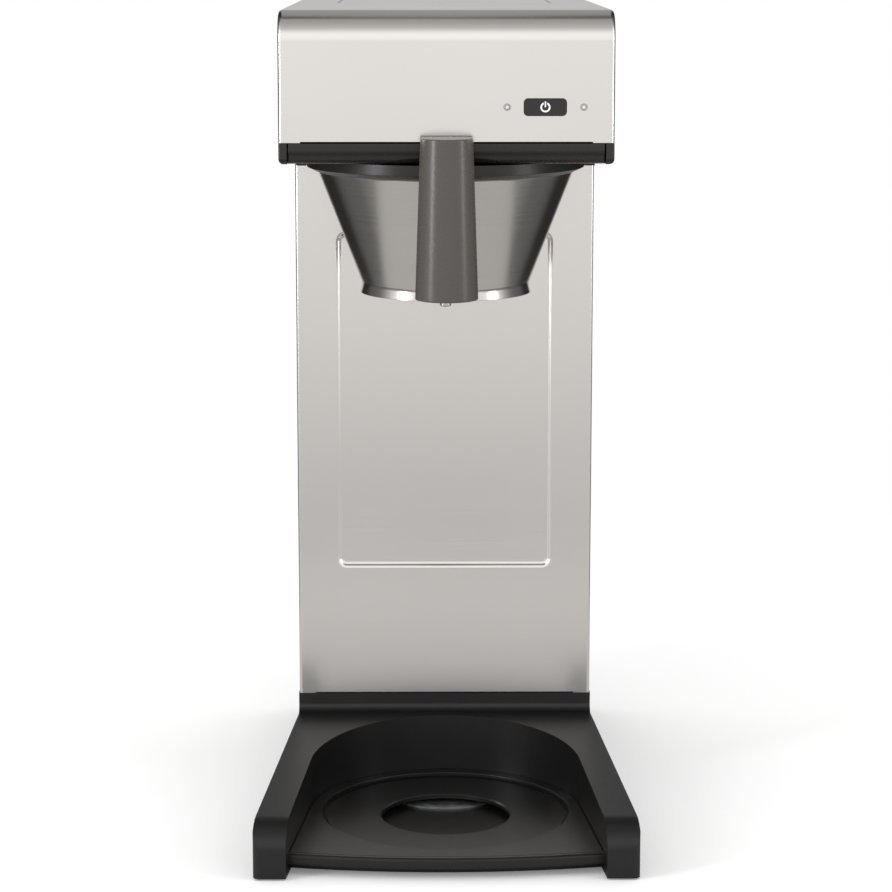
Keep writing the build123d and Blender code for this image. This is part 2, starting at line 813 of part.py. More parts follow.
with BuildPart() as transfer_hose:
    with BuildLine() as transfer_route:
        FilletPolyline((hose_x, water_y, valve_bottom_z + hose_overlap), (hose_x, water_y, transfer_low_z),
                       (0, water_y, transfer_low_z), (0, water_y, tube_bottom_z + hose_overlap),
                       radius=transfer_bend)
    with BuildSketch(Plane(origin=transfer_route.line @ 0, z_dir=transfer_route.line % 0)):
        Circle(hose_outer_radius)
        Circle(hose_bore_radius, mode=Mode.SUBTRACT)
    sweep()
save(transfer_hose, "transfer_hose")

with BuildPart() as riser_hose:
    with BuildLine() as riser_route:
        FilletPolyline((0, water_y, tube_top_z - hose_overlap), (0, water_y, riser_high_z),
                       (0, spray_spigot_y + spigot_length - hose_overlap, riser_high_z),
                       radius=riser_bend)
    with BuildSketch(Plane(origin=riser_route.line @ 0, z_dir=riser_route.line % 0)):
        Circle(hose_outer_radius)
        Circle(hose_bore_radius, mode=Mode.SUBTRACT)
    sweep()
save(riser_hose, "riser_hose")

with BuildPart() as hose_clamps:
    clamp_outer = hose_outer_radius + clamp_thickness
    for x, z in ((hose_x, valve_top_z - hose_overlap / 2), (hose_x, valve_bottom_z + hose_overlap / 2),
                 (0, tube_bottom_z + hose_overlap / 2), (0, tube_top_z - hose_overlap / 2)):
        upright_tube(x, water_y, clamp_outer, hose_outer_radius + fit, z - clamp_width / 2,
                     z + clamp_width / 2)
save(hose_clamps, "hose_clamps")

# Head tray: the moulding under the head
with BuildPart() as head_tray:
    with BuildSketch(Plane.XY.offset(column_top_z)):
        with Locations((0, tray_front_y)):
            Rectangle(2 * tray_half, rear_y - tray_front_y, align=(Align.CENTER, Align.MIN))
        with Locations((0, basket_axis_y)):
            Circle(spray_opening_radius, mode=Mode.SUBTRACT)
        with Locations((hose_x, water_y), (0, water_y)):
            Circle(hose_outer_radius + 2 * sheet, mode=Mode.SUBTRACT)
    extrude(amount=tray_floor)
    with BuildSketch(Plane.XY.offset(tray_floor_top_z)):
        with Locations((0, tray_front_y)):
            Rectangle(2 * tray_half, rear_y - tray_front_y, align=(Align.CENTER, Align.MIN))
        with Locations((0, tray_front_y + tray_wall)):
            Rectangle(2 * (tray_half - tray_wall), tray_rear_y - tray_front_y - 2 * tray_wall,
                      align=(Align.CENTER, Align.MIN), mode=Mode.SUBTRACT)
    extrude(amount=band_top_z - tray_floor_top_z)
    with BuildSketch(Plane.XY.offset(band_top_z)):
        with Locations((0, tray_rear_y)):
            Rectangle(2 * (tray_half - tray_wall), tray_wall, align=(Align.CENTER, Align.MAX))
    extrude(amount=tray_rear_rise)
    with Locations(*[Location((x, tray_rear_y, steel_bottom_z + cover_screw_rise), (-90, 0, 0))
                     for x in (-cover_screw_x, cover_screw_x)]):
        Hole(screw_radius, depth=tray_wall)
save(head_tray, "head_tray")

# Front band and side trims around the tray
with BuildPart() as front_band:
    with BuildSketch(Plane.YZ) as band_section:
        with Locations((head_front_y, column_top_z)):
            Rectangle(band_depth, band_height, align=(Align.MIN, Align.MIN))
        fillet(band_section.vertices().group_by(Axis.X)[0].sort_by(Axis.Y)[0], radius=band_foot_radius)
    extrude(amount=head_half - side_trim_width - band_gap, both=True)
save(front_band, "front_band")

for side, trim_name in ((-1, "side_trim_left"), (1, "side_trim_right")):
    with BuildPart() as side_trim:
        with BuildSketch(Plane.XY.offset(column_top_z)):
            with Locations((side * (head_half - side_trim_width / 2), head_front_y)):
                Rectangle(side_trim_width, rear_y - head_front_y, align=(Align.CENTER, Align.MIN))
        extrude(amount=band_height)
        low_edges = side_trim.edges().filter_by(Plane.XY).group_by(Axis.Z)[0]
        fillet(low_edges.group_by(Axis.Y)[0], radius=band_foot_radius)
    save(side_trim, trim_name)

# Rails that carry the basket's runners
rail_web_x = runner_half + rail_gap
rail_lip_top_z = runner_bottom_z - rail_lip_gap
rail_length = rail_rear_y - rail_front_y
for side, rail_name in ((-1, "rail_left"), (1, "rail_right")):
    with BuildPart() as rail:
        with BuildSketch(Plane.XY.offset(rail_lip_top_z - rail_lip)):
            with Locations((side * (rim_radius + rail_gap + rail_web_x + rail_web) / 2, rail_front_y)):
                Rectangle(rail_web_x + rail_web - rim_radius - rail_gap, rail_length,
                          align=(Align.CENTER, Align.MIN))
        extrude(amount=rail_lip)
        with BuildSketch(Plane.XY.offset(rail_lip_top_z)):
            with Locations((side * (rail_web_x + rail_web / 2), rail_front_y)):
                Rectangle(rail_web, rail_length, align=(Align.CENTER, Align.MIN))
            with Locations((side * (rim_radius + rail_gap + rail_web_x) / 2, runner_rear_y + seam)):
                Rectangle(rail_web_x - rim_radius - rail_gap, rail_rear_y - runner_rear_y - seam,
                          align=(Align.CENTER, Align.MIN))
        extrude(amount=column_top_z - rail_lip_top_z)
    save(rail, rail_name)

# Head cover: folded steel with the lid opening, the button window and two light holes
def cover_side(inset=0.0):
    """Side view of the head cover, with its rounded front-top edge."""
    with BuildSketch(Plane.YZ) as side_view:
        with Locations((head_front_y + inset, steel_bottom_z)):
            Rectangle(rear_y - head_front_y - 2 * inset, head_top_z - inset - steel_bottom_z,
                      align=(Align.MIN, Align.MIN))
        fillet(side_view.vertices().group_by(Axis.X)[0].sort_by(Axis.Y)[-1],
               radius=head_nose_radius - inset)
    return side_view.sketch


lid_opening_depth = lid_rear_y + lid_rear_gap - lid_front_y + lid_gap
light_places = [(light_left_x, button_z), (light_right_x, button_z)]
cover_screw_z = steel_bottom_z + cover_screw_rise
with BuildPart() as head_cover:
    extrude(cover_side(), amount=head_half, both=True)
    side_faces = head_cover.faces().filter_by(Axis.X)
    bent_edges = side_faces.edges().filter_by_position(Axis.Z, steel_bottom_z + sheet, head_top_z + sheet)
    fillet([e for e in bent_edges if e.center().Y < rear_y - sheet], radius=head_corner_radius)
    extrude(cover_side(sheet), amount=head_half - sheet, both=True, mode=Mode.SUBTRACT)
    with BuildSketch(Plane.XY.offset(head_top_z)) as lid_opening:
        with Locations((0, lid_front_y - lid_gap)):
            Rectangle(2 * (lid_half + lid_gap), lid_opening_depth, align=(Align.CENTER, Align.MIN))
        fillet(lid_opening.vertices().group_by(Axis.Y)[0], radius=lid_corner_radius)
        with Locations((0, lid_front_y - lid_gap)):
            Circle(lid_notch_radius)
    extrude(amount=-sheet, mode=Mode.SUBTRACT)
    with BuildSketch(front_plane(head_front_y)):
        with Locations((button_x, button_z)):
            RectangleRounded(button_width + 2 * button_gap, button_height + 2 * button_gap,
                             button_radius + button_gap)
        with Locations(*light_places):
            Circle(light_radius + fit)
        with Locations((0, steel_bottom_z)):
            Rectangle(2 * (head_half - head_tab_width), notch_height, align=(Align.CENTER, Align.MIN))
    extrude(amount=-sheet, mode=Mode.SUBTRACT)
    for side in (-1, 1):
        with BuildSketch(Plane.YZ.offset(side * (lid_half + bracket_gap))):
            with Locations((hinge_y - lug_reach, head_top_z - sheet)):
                Rectangle(lid_rear_gap + hinge_inset + 3 * lug_reach, hinge_drop + lug_reach - sheet,
                          align=(Align.MIN, Align.MAX))
            with Locations((hinge_y, hinge_z)):
                Circle(hinge_pin_radius, mode=Mode.SUBTRACT)
        extrude(amount=side * lug_width)
    shelf_top_z = lid_bottom_z - seam
    with BuildSketch(Plane.XY.offset(shelf_top_z - shelf_thickness)):
        for side in (-1, 1):
            with Locations((side * (lid_half + lid_notch_radius) / 2, lid_front_y - lid_gap - shelf_reach)):
                Rectangle(lid_half - 2 * lid_notch_radius, lid_gap + 2 * shelf_reach,
                          align=(Align.CENTER, Align.MIN))
    extrude(amount=shelf_thickness)
    with BuildSketch(Plane.XY.offset(shelf_top_z - shelf_thickness)):
        for side in (-1, 1):
            with Locations((side * (lid_half + lid_notch_radius) / 2, lid_front_y - lid_gap - shelf_reach)):
                Rectangle(lid_half - 2 * lid_notch_radius, shelf_reach, align=(Align.CENTER, Align.MIN))
    extrude(amount=head_top_z - sheet - shelf_top_z + shelf_thickness)
    with Locations(*[Location((x, rear_y, cover_screw_z), (-90, 0, 0))
                     for x in (-cover_screw_x, cover_screw_x)]):
        Hole(screw_radius + fit, depth=sheet)
save(head_cover, "head_cover")

with BuildPart() as cover_screws:
    with BuildSketch(front_plane(rear_y)):
        with Locations((-cover_screw_x, cover_screw_z), (cover_screw_x, cover_screw_z)):
            Circle(screw_radius)
    extrude(amount=sheet + seam + tray_wall)
save(cover_screws, "cover_screws")

# Fill lid and its pin
lug_x = lid_half - lug_width
with BuildPart() as fill_lid:
    with BuildSketch(Plane.XY.offset(lid_bottom_z)) as lid_plan:
        with Locations((0, (lid_front_y + lid_rear_y) / 2)):
            Rectangle(2 * lid_half, lid_rear_y - lid_front_y)
        fillet(lid_plan.vertices().group_by(Axis.Y)[0], radius=lid_corner_radius)
        fillet(lid_plan.vertices().group_by(Axis.Y)[-1], radius=lid_rear_corner_radius)
    extrude(amount=lid_thickness)
    for side in (-1, 1):
        with BuildSketch(Plane.YZ.offset(side * (lug_x - lug_width))):
            with Locations((hinge_y, lid_bottom_z)):
                Rectangle(2 * lug_reach, lid_bottom_z - hinge_z + lug_reach, align=(Align.CENTER, Align.MAX))
            with Locations((hinge_y, hinge_z)):
                Circle(hinge_pin_radius + hinge_running, mode=Mode.SUBTRACT)
        extrude(amount=side * lug_width)
save(fill_lid, "fill_lid")

with BuildPart() as lid_hinge_pin:
    with BuildSketch(Plane.YZ):
        with Locations((hinge_y, hinge_z)):
            Circle(hinge_pin_radius)
    extrude(amount=lid_half + bracket_gap + lug_width, both=True)
save(lid_hinge_pin, "lid_hinge_pin")

# Water tank on four posts, with the outlet spigot
tank_middle_y = (tank_front_y + tank_rear_y) / 2
tank_length = tank_rear_y - tank_front_y
with BuildPart() as water_tank:
    with BuildSketch(Plane.XY.offset(tank_bottom_z)):
        with Locations((0, tank_middle_y)):
            RectangleRounded(2 * tank_half, tank_length, tank_corner_radius)
    extrude(amount=tank_top_z - tank_bottom_z)
    with BuildSketch(Plane.XY.offset(tank_bottom_z + tank_wall)):
        with Locations((0, tank_middle_y)):
            RectangleRounded(2 * (tank_half - tank_wall), tank_length - 2 * tank_wall,
                             tank_corner_radius - tank_wall)
    extrude(amount=tank_top_z - tank_bottom_z, mode=Mode.SUBTRACT)
    with BuildSketch(Plane.XY.offset(tray_floor_top_z)):
        with Locations((0, tank_middle_y)):
            with GridLocations(2 * (tank_half - post_inset), tank_length - 2 * post_inset, 2, 2):
                Circle(post_radius)
    extrude(amount=tank_bottom_z - tray_floor_top_z)
    with BuildSketch(Plane.XY.offset(tank_bottom_z)):
        with Locations((hose_x, water_y)):
            Circle(spigot_radius)
    extrude(amount=-spigot_length)
    with BuildSketch(Plane.XY.offset(tank_bottom_z + tank_wall)):
        with Locations((hose_x, water_y)):
            Circle(spigot_bore_radius)
    extrude(amount=-spigot_length - 2 * tank_wall, mode=Mode.SUBTRACT)
save(water_tank, "water_tank")

# Fill strainer: the tank's top with a perforated bowl
bowl_middle_y = (strainer_front_y + strainer_rear_y) / 2
bowl_length = strainer_rear_y - strainer_front_y
bowl_bottom_z = tank_top_z + strainer_flange - strainer_depth
with BuildPart() as fill_strainer:
    with BuildSketch(Plane.XY.offset(tank_top_z)):
        with Locations((0, tank_middle_y)):
            RectangleRounded(2 * tank_half, tank_length, tank_corner_radius)
    extrude(amount=strainer_flange)
    with BuildSketch(Plane.XY.offset(bowl_bottom_z)):
        with Locations((0, bowl_middle_y)):
            RectangleRounded(2 * strainer_half, bowl_length, tank_corner_radius)
    extrude(amount=strainer_depth)
    with BuildSketch(Plane.XY.offset(bowl_bottom_z + strainer_flange)):
        with Locations((0, bowl_middle_y)):
            RectangleRounded(2 * (strainer_half - strainer_flange), bowl_length - 2 * strainer_flange,
                             tank_corner_radius - strainer_flange)
    extrude(amount=strainer_depth, mode=Mode.SUBTRACT)
    with BuildSketch(Plane.XY.offset(bowl_bottom_z)):
        with Locations((0, bowl_middle_y)):
            with GridLocations(strainer_pitch, strainer_pitch, strainer_columns, strainer_rows):
                Circle(strainer_hole_radius)
    extrude(amount=strainer_flange, mode=Mode.SUBTRACT)
save(fill_strainer, "fill_strainer")

# Spray head over the basket, with its perforated plate below
with BuildPart() as spray_head:
    with BuildSketch(Plane.XY.offset(tray_floor_top_z)):
        with Locations((0, basket_axis_y)):
            Circle(spray_flange_radius)
    extrude(amount=spray_flange_height)
    with BuildSketch(Plane.XY.offset(tray_floor_top_z)):
        with Locations((0, basket_axis_y)):
            Circle(spray_dome_radius)
    extrude(amount=spray_dome_top_z - tray_floor_top_z)
    with BuildSketch(front_plane(spray_spigot_y + spigot_length)):
        with Locations((0, riser_high_z)):
            Circle(spigot_radius)
    extrude(amount=spray_spigot_y + spigot_length - basket_axis_y)
    with BuildSketch(Plane.XY.offset(tray_floor_top_z)):
        with Locations((0, basket_axis_y)):
            Circle(spray_dome_radius - tank_wall)
    extrude(amount=spray_dome_top_z - tray_floor_top_z - tank_wall, mode=Mode.SUBTRACT)
    with BuildSketch(front_plane(spray_spigot_y + spigot_length)):
        with Locations((0, riser_high_z)):
            Circle(spigot_bore_radius)
    extrude(amount=spray_spigot_y + spigot_length - basket_axis_y, mode=Mode.SUBTRACT)
save(spray_head, "spray_head")

with BuildPart() as spray_plate:
    with BuildSketch(Plane.XY.offset(tray_floor_top_z - spray_plate_height)):
        with Locations((0, basket_axis_y)):
            Circle(spray_plate_radius)
            for ring_radius, count in zip(spray_ring_radii, spray_ring_counts):
                with PolarLocations(ring_radius, count):
                    Circle(spray_hole_radius, mode=Mode.SUBTRACT)
    extrude(amount=spray_plate_height)
save(spray_plate, "spray_plate")

# Controls: bracket, board, switch, lights and button
board_middle_x = (board_left_x + board_right_x) / 2
board_width = board_right_x - board_left_x
with BuildPart() as control_bracket:
    with BuildSketch(Plane.XY.offset(tray_floor_top_z)):
        with Locations((board_middle_x, board_y + sheet)):
            Rectangle(board_width, control_foot, align=(Align.CENTER, Align.MAX))
    extrude(amount=sheet)
    with BuildSketch(front_plane(board_y + sheet)):
        with Locations((board_middle_x, tray_floor_top_z)):
            Rectangle(board_width, board_top_z - tray_floor_top_z, align=(Align.CENTER, Align.MIN))
    extrude(amount=sheet)
save(control_bracket, "control_bracket")

with BuildPart() as control_board:
    with BuildSketch(front_plane(board_y)):
        with Locations((board_middle_x, board_bottom_z)):
            Rectangle(board_width, board_top_z - board_bottom_z, align=(Align.CENTER, Align.MIN))
    extrude(amount=board_thickness)
save(control_board, "control_board")

button_front_y = head_front_y - button_proud
button_rear_y = button_front_y + button_depth
plunger_tip_y = button_rear_y + plunger_length
with BuildPart() as switch_body:
    with BuildSketch(front_plane(board_front_y)):
        with Locations((button_x, button_z)):
            Rectangle(switch_width, switch_height)
    extrude(amount=switch_depth)
    with BuildSketch(front_plane(plunger_tip_y + button_travel + seam)):
        with Locations((button_x, button_z)):
            Circle(plunger_radius + plunger_running)
    extrude(amount=switch_depth, mode=Mode.SUBTRACT)
save(switch_body, "switch_body")

with BuildPart() as switch_plunger:
    with BuildSketch(front_plane(plunger_tip_y)):
        with Locations((button_x, button_z)):
            Circle(plunger_radius)
    extrude(amount=plunger_length)
save(switch_plunger, "switch_plunger")

with BuildSketch(front_plane(button_front_y + symbol_depth)) as symbol_plan:
    with Locations((button_x, button_z)):
        Circle(symbol_radius)
        Circle(symbol_radius - symbol_stroke, mode=Mode.SUBTRACT)
        Rectangle(2 * symbol_stroke, symbol_radius + symbol_stroke, align=(Align.CENTER, Align.MIN),
                  mode=Mode.SUBTRACT)
        Rectangle(symbol_bar, symbol_radius + symbol_stroke / 2, align=(Align.CENTER, Align.MIN))

with BuildPart() as power_symbol:
    extrude(symbol_plan.sketch, amount=symbol_depth)
save(power_symbol, "power_symbol")

with BuildPart() as button_cap:
    with BuildSketch(front_plane(button_rear_y)):
        with Locations((button_x, button_z)):
            RectangleRounded(button_width, button_height, button_radius)
    extrude(amount=button_depth)
    with BuildSketch(front_plane(button_rear_y)):
        with Locations((button_x, button_z)):
            RectangleRounded(button_width + 2 * button_flange, button_height + 2 * button_flange,
                             button_radius)
    extrude(amount=button_rear_y - steel_inner_y - 2 * seam)
    extrude(symbol_plan.sketch, amount=symbol_depth, mode=Mode.SUBTRACT)
save(button_cap, "button_cap")

for light_x, light_side in ((light_left_x, "left"), (light_right_x, "right")):
    with BuildPart() as light_ring:
        with BuildSketch(front_plane(steel_inner_y)):
            with Locations((light_x, button_z)):
                Circle(light_radius)
        extrude(amount=sheet + light_proud)
        with BuildSketch(front_plane(steel_inner_y)):
            with Locations((light_x, button_z)):
                Circle(light_flange_radius)
        extrude(amount=-sheet)
        with BuildSketch(front_plane(steel_inner_y + sheet)):
            with Locations((light_x, button_z)):
                Circle(light_pipe_radius + fit)
        extrude(amount=2 * sheet + light_proud, mode=Mode.SUBTRACT)
    save(light_ring, f"light_ring_{light_side}")
    with BuildPart() as light_pipe:
        with BuildSketch(front_plane(board_front_y)):
            with Locations((light_x, button_z)):
                Circle(light_pipe_radius)
        extrude(amount=board_front_y - head_front_y + light_proud)
    save(light_pipe, f"light_pipe_{light_side}")

# Basket cone: spun steel with a flat floor, a skirt and a rolled lip
basket_plane = front_plane(basket_axis_y)
basket_axis = Axis((0, basket_axis_y, 0), (0, 0, 1))
spout_hole = spout_radius + fit
with BuildPart() as basket_cone:
    with BuildSketch(basket_plane):
        with BuildLine():
            Polyline(
                (spout_hole, cone_floor_z),
                (cone_foot_radius - cone_sheet, cone_floor_z),
                (cone_top_radius - cone_sheet, cone_top_z),
                (cone_top_radius - cone_sheet, rim_top_z),
                (rim_bore_radius + rim_lip_width - seam, rim_top_z),
                (rim_bore_radius + rim_lip_width - seam, rim_seat_z),
                (cone_top_radius, rim_seat_z),
                (cone_top_radius, cone_top_z),
                (cone_foot_radius, cone_foot_z),
                (skirt_radius, skirt_bottom_z),
                (skirt_radius - cone_sheet, skirt_bottom_z),
                (cone_foot_radius - cone_sheet, cone_foot_z),
                (spout_hole, cone_foot_z),
                close=True,
            )
        make_face()
    revolve(axis=basket_axis)
save(basket_cone, "basket_cone")

# Basket rim with its runners and the tab for the handle
ring_middle_radius = (rim_bore_radius + rim_radius) / 2
with BuildPart() as basket_rim:
    with BuildSketch(basket_plane):
        with BuildLine():
            Polyline(
                (rim_bore_radius, cone_top_z),
                (rim_bore_radius + seam, cone_top_z),
                (rim_radius, rim_bottom_z),
                (rim_radius, rim_top_z),
                (rim_bore_radius + rim_lip_width, rim_top_z),
                (rim_bore_radius + rim_lip_width, rim_seat_z),
                (rim_bore_radius, rim_seat_z),
                close=True,
            )
        make_face()
    revolve(axis=basket_axis)
    with BuildSketch(Plane.XY.offset(runner_bottom_z)):
        with Locations((0, runner_front_y)):
            Rectangle(2 * runner_half, runner_rear_y - runner_front_y, align=(Align.CENTER, Align.MIN))
        with Locations((0, basket_axis_y)):
            Circle(ring_middle_radius, mode=Mode.SUBTRACT)
    extrude(amount=runner_height)
    with BuildSketch(Plane.XY.offset(tab_bottom_z)):
        with Locations((0, tab_front_y)):
            Rectangle(2 * tab_half, basket_axis_y - rim_bore_radius - tab_front_y,
                      align=(Align.CENTER, Align.MIN))
        with Locations((0, basket_axis_y)):
            Circle(ring_middle_radius, mode=Mode.SUBTRACT)
        with Locations((0, tab_screw_front_y), (0, tab_screw_rear_y)):
            Circle(screw_radius + fit, mode=Mode.SUBTRACT)
    extrude(amount=tab_height)
save(basket_rim, "basket_rim")


def handle_section(z, inset=0.0, reach=0.0):
    """Level cut of the handle: flat at the rear and round at the front."""
    share = (z - handle_bottom_z) / (handle_top_z - handle_bottom_z)
    half = handle_bottom_half + (handle_top_half - handle_bottom_half) * share - inset
    side_y = handle_front_y + handle_bulge
    with BuildSketch(Plane.XY.offset(z)) as section:
        with BuildLine():
            ThreePointArc((-half, side_y), (0, handle_front_y + inset), (half, side_y))
            Polyline((half, side_y), (half, handle_rear_y + reach), (-half, handle_rear_y + reach),
                     (-half, side_y))
        make_face()
    return section.sketch


# Basket handle: a hollow grip with a shelf that the rim's tab is screwed to
with BuildPart() as basket_handle:
    loft([handle_section(handle_bottom_z), handle_section(handle_top_z)])
    fillet(basket_handle.edges().group_by(Axis.Z)[0] + basket_handle.edges().group_by(Axis.Z)[-1],
           radius=handle_edge_radius)
    shelf_bottom_z = tab_top_z
    for low_z, high_z in ((handle_bottom_z + handle_wall, shelf_bottom_z),
                          (shelf_bottom_z + handle_shelf, handle_top_z - handle_wall)):
        loft([handle_section(low_z, handle_wall, handle_wall),
              handle_section(high_z, handle_wall, handle_wall)], mode=Mode.SUBTRACT)
    with BuildSketch(Plane.XY.offset(shelf_bottom_z)):
        with Locations((0, tab_screw_front_y), (0, tab_screw_rear_y)):
            Circle(screw_radius)
    extrude(amount=handle_shelf, mode=Mode.SUBTRACT)
save(basket_handle, "basket_handle")

with BuildPart() as handle_screws:
    pan_screws([(0, tab_screw_front_y, tab_bottom_z), (0, tab_screw_rear_y, tab_bottom_z)],
               (180, 0, 0), tab_screw_length)
save(handle_screws, "handle_screws")

# Spout, its nut and the grid that the paper filter stands on
with BuildPart() as basket_spout:
    upright_tube(0, basket_axis_y, spout_radius, spout_bore_radius, spout_tip_z,
                 cone_floor_z + spout_flange_height)
    upright_tube(0, basket_axis_y, spout_flange_radius, spout_bore_radius, cone_floor_z,
                 cone_floor_z + spout_flange_height)
save(basket_spout, "basket_spout")

with BuildPart() as spout_nut:
    with BuildSketch(Plane.XY.offset(cone_foot_z)):
        with Locations((0, basket_axis_y)):
            RegularPolygon(nut_radius, 6)
            Circle(spout_hole, mode=Mode.SUBTRACT)
    extrude(amount=-nut_height)
save(spout_nut, "spout_nut")

with BuildPart() as filter_grid:
    with BuildSketch(Plane.XY.offset(cone_floor_z + spout_flange_height)):
        with Locations((0, basket_axis_y)):
            Circle(grid_radius)
            Circle(spout_bore_radius, mode=Mode.SUBTRACT)
            for ring_radius, count in zip(grid_ring_radii, grid_ring_counts):
                with PolarLocations(ring_radius, count):
                    Circle(grid_hole_radius, mode=Mode.SUBTRACT)
    extrude(amount=grid_thickness)
save(filter_grid, "filter_grid")
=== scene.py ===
from math import cos, pi, radians, sin

import bpy
import bmesh
from mathutils import Matrix, Vector


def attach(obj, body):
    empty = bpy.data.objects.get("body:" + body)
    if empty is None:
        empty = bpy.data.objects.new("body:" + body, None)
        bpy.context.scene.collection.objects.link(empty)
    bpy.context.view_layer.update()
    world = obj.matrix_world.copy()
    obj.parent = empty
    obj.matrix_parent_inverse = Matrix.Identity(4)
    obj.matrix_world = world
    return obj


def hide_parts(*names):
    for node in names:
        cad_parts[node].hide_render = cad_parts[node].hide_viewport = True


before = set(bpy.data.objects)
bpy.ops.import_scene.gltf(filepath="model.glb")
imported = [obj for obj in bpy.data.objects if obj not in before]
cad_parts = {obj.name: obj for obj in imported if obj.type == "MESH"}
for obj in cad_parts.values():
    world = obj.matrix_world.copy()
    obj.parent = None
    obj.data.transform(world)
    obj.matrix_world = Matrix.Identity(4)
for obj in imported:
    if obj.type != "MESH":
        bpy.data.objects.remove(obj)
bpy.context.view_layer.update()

mm = 0.001


# Camera: at the height of the head, almost level, a little to the left of the middle and
# about 1.6 m in front, as the machine stands on a table at the far end of a studio.
camera_place = (-11.55 * mm, -1794.7 * mm, 571.0 * mm)
camera_pitch = 9.565
camera_yaw = -0.397
camera_data = bpy.data.cameras.new("camera")
camera_data.sensor_width = 36
camera_data.lens = 110.17
camera_data.shift_y = -0.05
camera = bpy.data.objects.new("camera", camera_data)
camera.location = camera_place
camera.rotation_euler = (radians(90 - camera_pitch), 0, radians(camera_yaw))
bpy.context.scene.collection.objects.link(camera)
bpy.context.scene.camera = camera
bpy.context.scene.view_settings.view_transform = "Standard"


# Studio: soft light from the whole front, a dimmer ceiling and a pale wall behind, with
# dark cards at the rear corners and a tall strip lamp on each side. The cards give the round
# steel its dark edges, and the lamps draw a streak down the grip.
def linear(code):
    """An sRGB hex colour as the linear values that a shader socket takes."""
    parts = [int(code[i:i + 2], 16) / 255 for i in (1, 3, 5)]
    return tuple(c / 12.92 if c <= 0.04045 else ((c + 0.055) / 1.055) ** 2.4 for c in parts) + (1.0,)


def add_node(tree, kind, links=None, **settings):
    """Add a node, set its sockets and properties, and link other nodes' outputs to it."""
    node = tree.nodes.new(kind)
    for name, value in settings.items():
        if hasattr(node, name):
            setattr(node, name, value)
        else:
            node.inputs[name.replace("_", " ")].default_value = value
    for socket, source in (links or {}).items():
        tree.links.new(source, node.inputs[socket])
    return node


def grey_ramp(tree, source, stops):
    """A ramp of grey levels along a value from 0 to 1."""
    node = add_node(tree, "ShaderNodeValToRGB", {0: source})
    while len(node.color_ramp.elements) < len(stops):
        node.color_ramp.elements.new(0.5)
    for element, (place, value) in zip(node.color_ramp.elements, stops):
        element.position = place
        element.color = (value, value, value, 1)
    return node


world = bpy.data.worlds.new("studio")
bpy.context.scene.world = world
world.use_nodes = True
sky = world.node_tree
sky.nodes.clear()
direction = add_node(sky, "ShaderNodeTexCoord")
split = add_node(sky, "ShaderNodeSeparateXYZ", {0: direction.outputs["Generated"]})
sideways = add_node(sky, "ShaderNodeMath", {0: split.outputs["X"]}, operation="ABSOLUTE")
turn = add_node(sky, "ShaderNodeMath", {0: sideways.outputs[0], 1: split.outputs["Y"]},
                operation="ARCTAN2")
turn_share = add_node(sky, "ShaderNodeMath", {0: turn.outputs[0]}, operation="DIVIDE")
turn_share.inputs[1].default_value = pi
rise = add_node(sky, "ShaderNodeMath", {0: split.outputs["Z"]}, operation="ARCSINE")
lowest = radians(-30)
rise_share = add_node(sky, "ShaderNodeMapRange", {0: rise.outputs[0]}, From_Min=lowest, From_Max=pi / 2)


def by_height(*stops):
    """Ramp stops given as degrees above the horizon and a grey level."""
    return [((radians(angle) - lowest) / (pi / 2 - lowest), value) for angle, value in stops]


front_light = grey_ramp(sky, rise_share.outputs[0], by_height(
    (-30, 0.2), (-14, 0.4), (-9.5, 0.8), (-5, 1.03), (8, 1.22), (28, 1.22), (45, 0.65), (70, 0.45),
    (90, 0.42)))
rear_light = grey_ramp(sky, rise_share.outputs[0], by_height(
    (-30, 0.6), (0, 0.66), (10, 0.64), (28, 0.38), (90, 0.42)))
front_share = grey_ramp(sky, turn_share.outputs[0], ((0.0, 0.0), (0.4, 0.0), (0.62, 1.0)))
cards = grey_ramp(sky, turn_share.outputs[0],
                  ((0.0, 1.0), (0.06, 0.9), (0.11, 0.05), (0.25, 0.05), (0.32, 0.22), (0.45, 0.32),
                   (0.51, 0.62), (0.57, 0.95), (1.0, 1.0)))
both_lights = add_node(sky, "ShaderNodeMix", {0: front_share.outputs[0]}, data_type="RGBA")
sky.links.new(rear_light.outputs[0], both_lights.inputs[6])
sky.links.new(front_light.outputs[0], both_lights.inputs[7])
carded = add_node(sky, "ShaderNodeVectorMath", {0: both_lights.outputs[2], 1: cards.outputs[0]},
                  operation="MULTIPLY")
studio_light = add_node(sky, "ShaderNodeBackground", {0: carded.outputs[0]}, Strength=1.0)
white_wall = add_node(sky, "ShaderNodeBackground", Color=(1, 1, 1, 1), Strength=1.0)
path = add_node(sky, "ShaderNodeLightPath")
seen = add_node(sky, "ShaderNodeMath", {0: path.outputs["Is Camera Ray"],
                1: path.outputs["Is Transmission Ray"]}, operation="MAXIMUM")
plain = add_node(sky, "ShaderNodeMath", {0: seen.outputs[0], 1: path.outputs["Is Diffuse Ray"]},
                 operation="MAXIMUM")
wall_mix = add_node(sky, "ShaderNodeMixShader", {0: plain.outputs[0],
                    1: studio_light.outputs[0], 2: white_wall.outputs[0]})
add_node(sky, "ShaderNodeOutputWorld", {0: wall_mix.outputs[0]})

lamp_aim = Vector((0, 0, 0.25))
lamp_width = 0.45
lamp_height = 1.5
for lamp_name, place, power in (("key", (-2.1, -1.35, 0.85), 26.0), ("fill", (2.2, -1.0, 0.85), 11.0)):
    lamp_data = bpy.data.lights.new(lamp_name, "AREA")
    lamp_data.shape = "RECTANGLE"
    lamp_data.size = lamp_width
    lamp_data.size_y = lamp_height
    lamp_data.energy = power
    lamp = bpy.data.objects.new(lamp_name, lamp_data)
    lamp.location = place
    lamp.rotation_euler = (Vector(place) - lamp_aim).to_track_quat("Z", "Y").to_euler()
    bpy.context.scene.collection.objects.link(lamp)


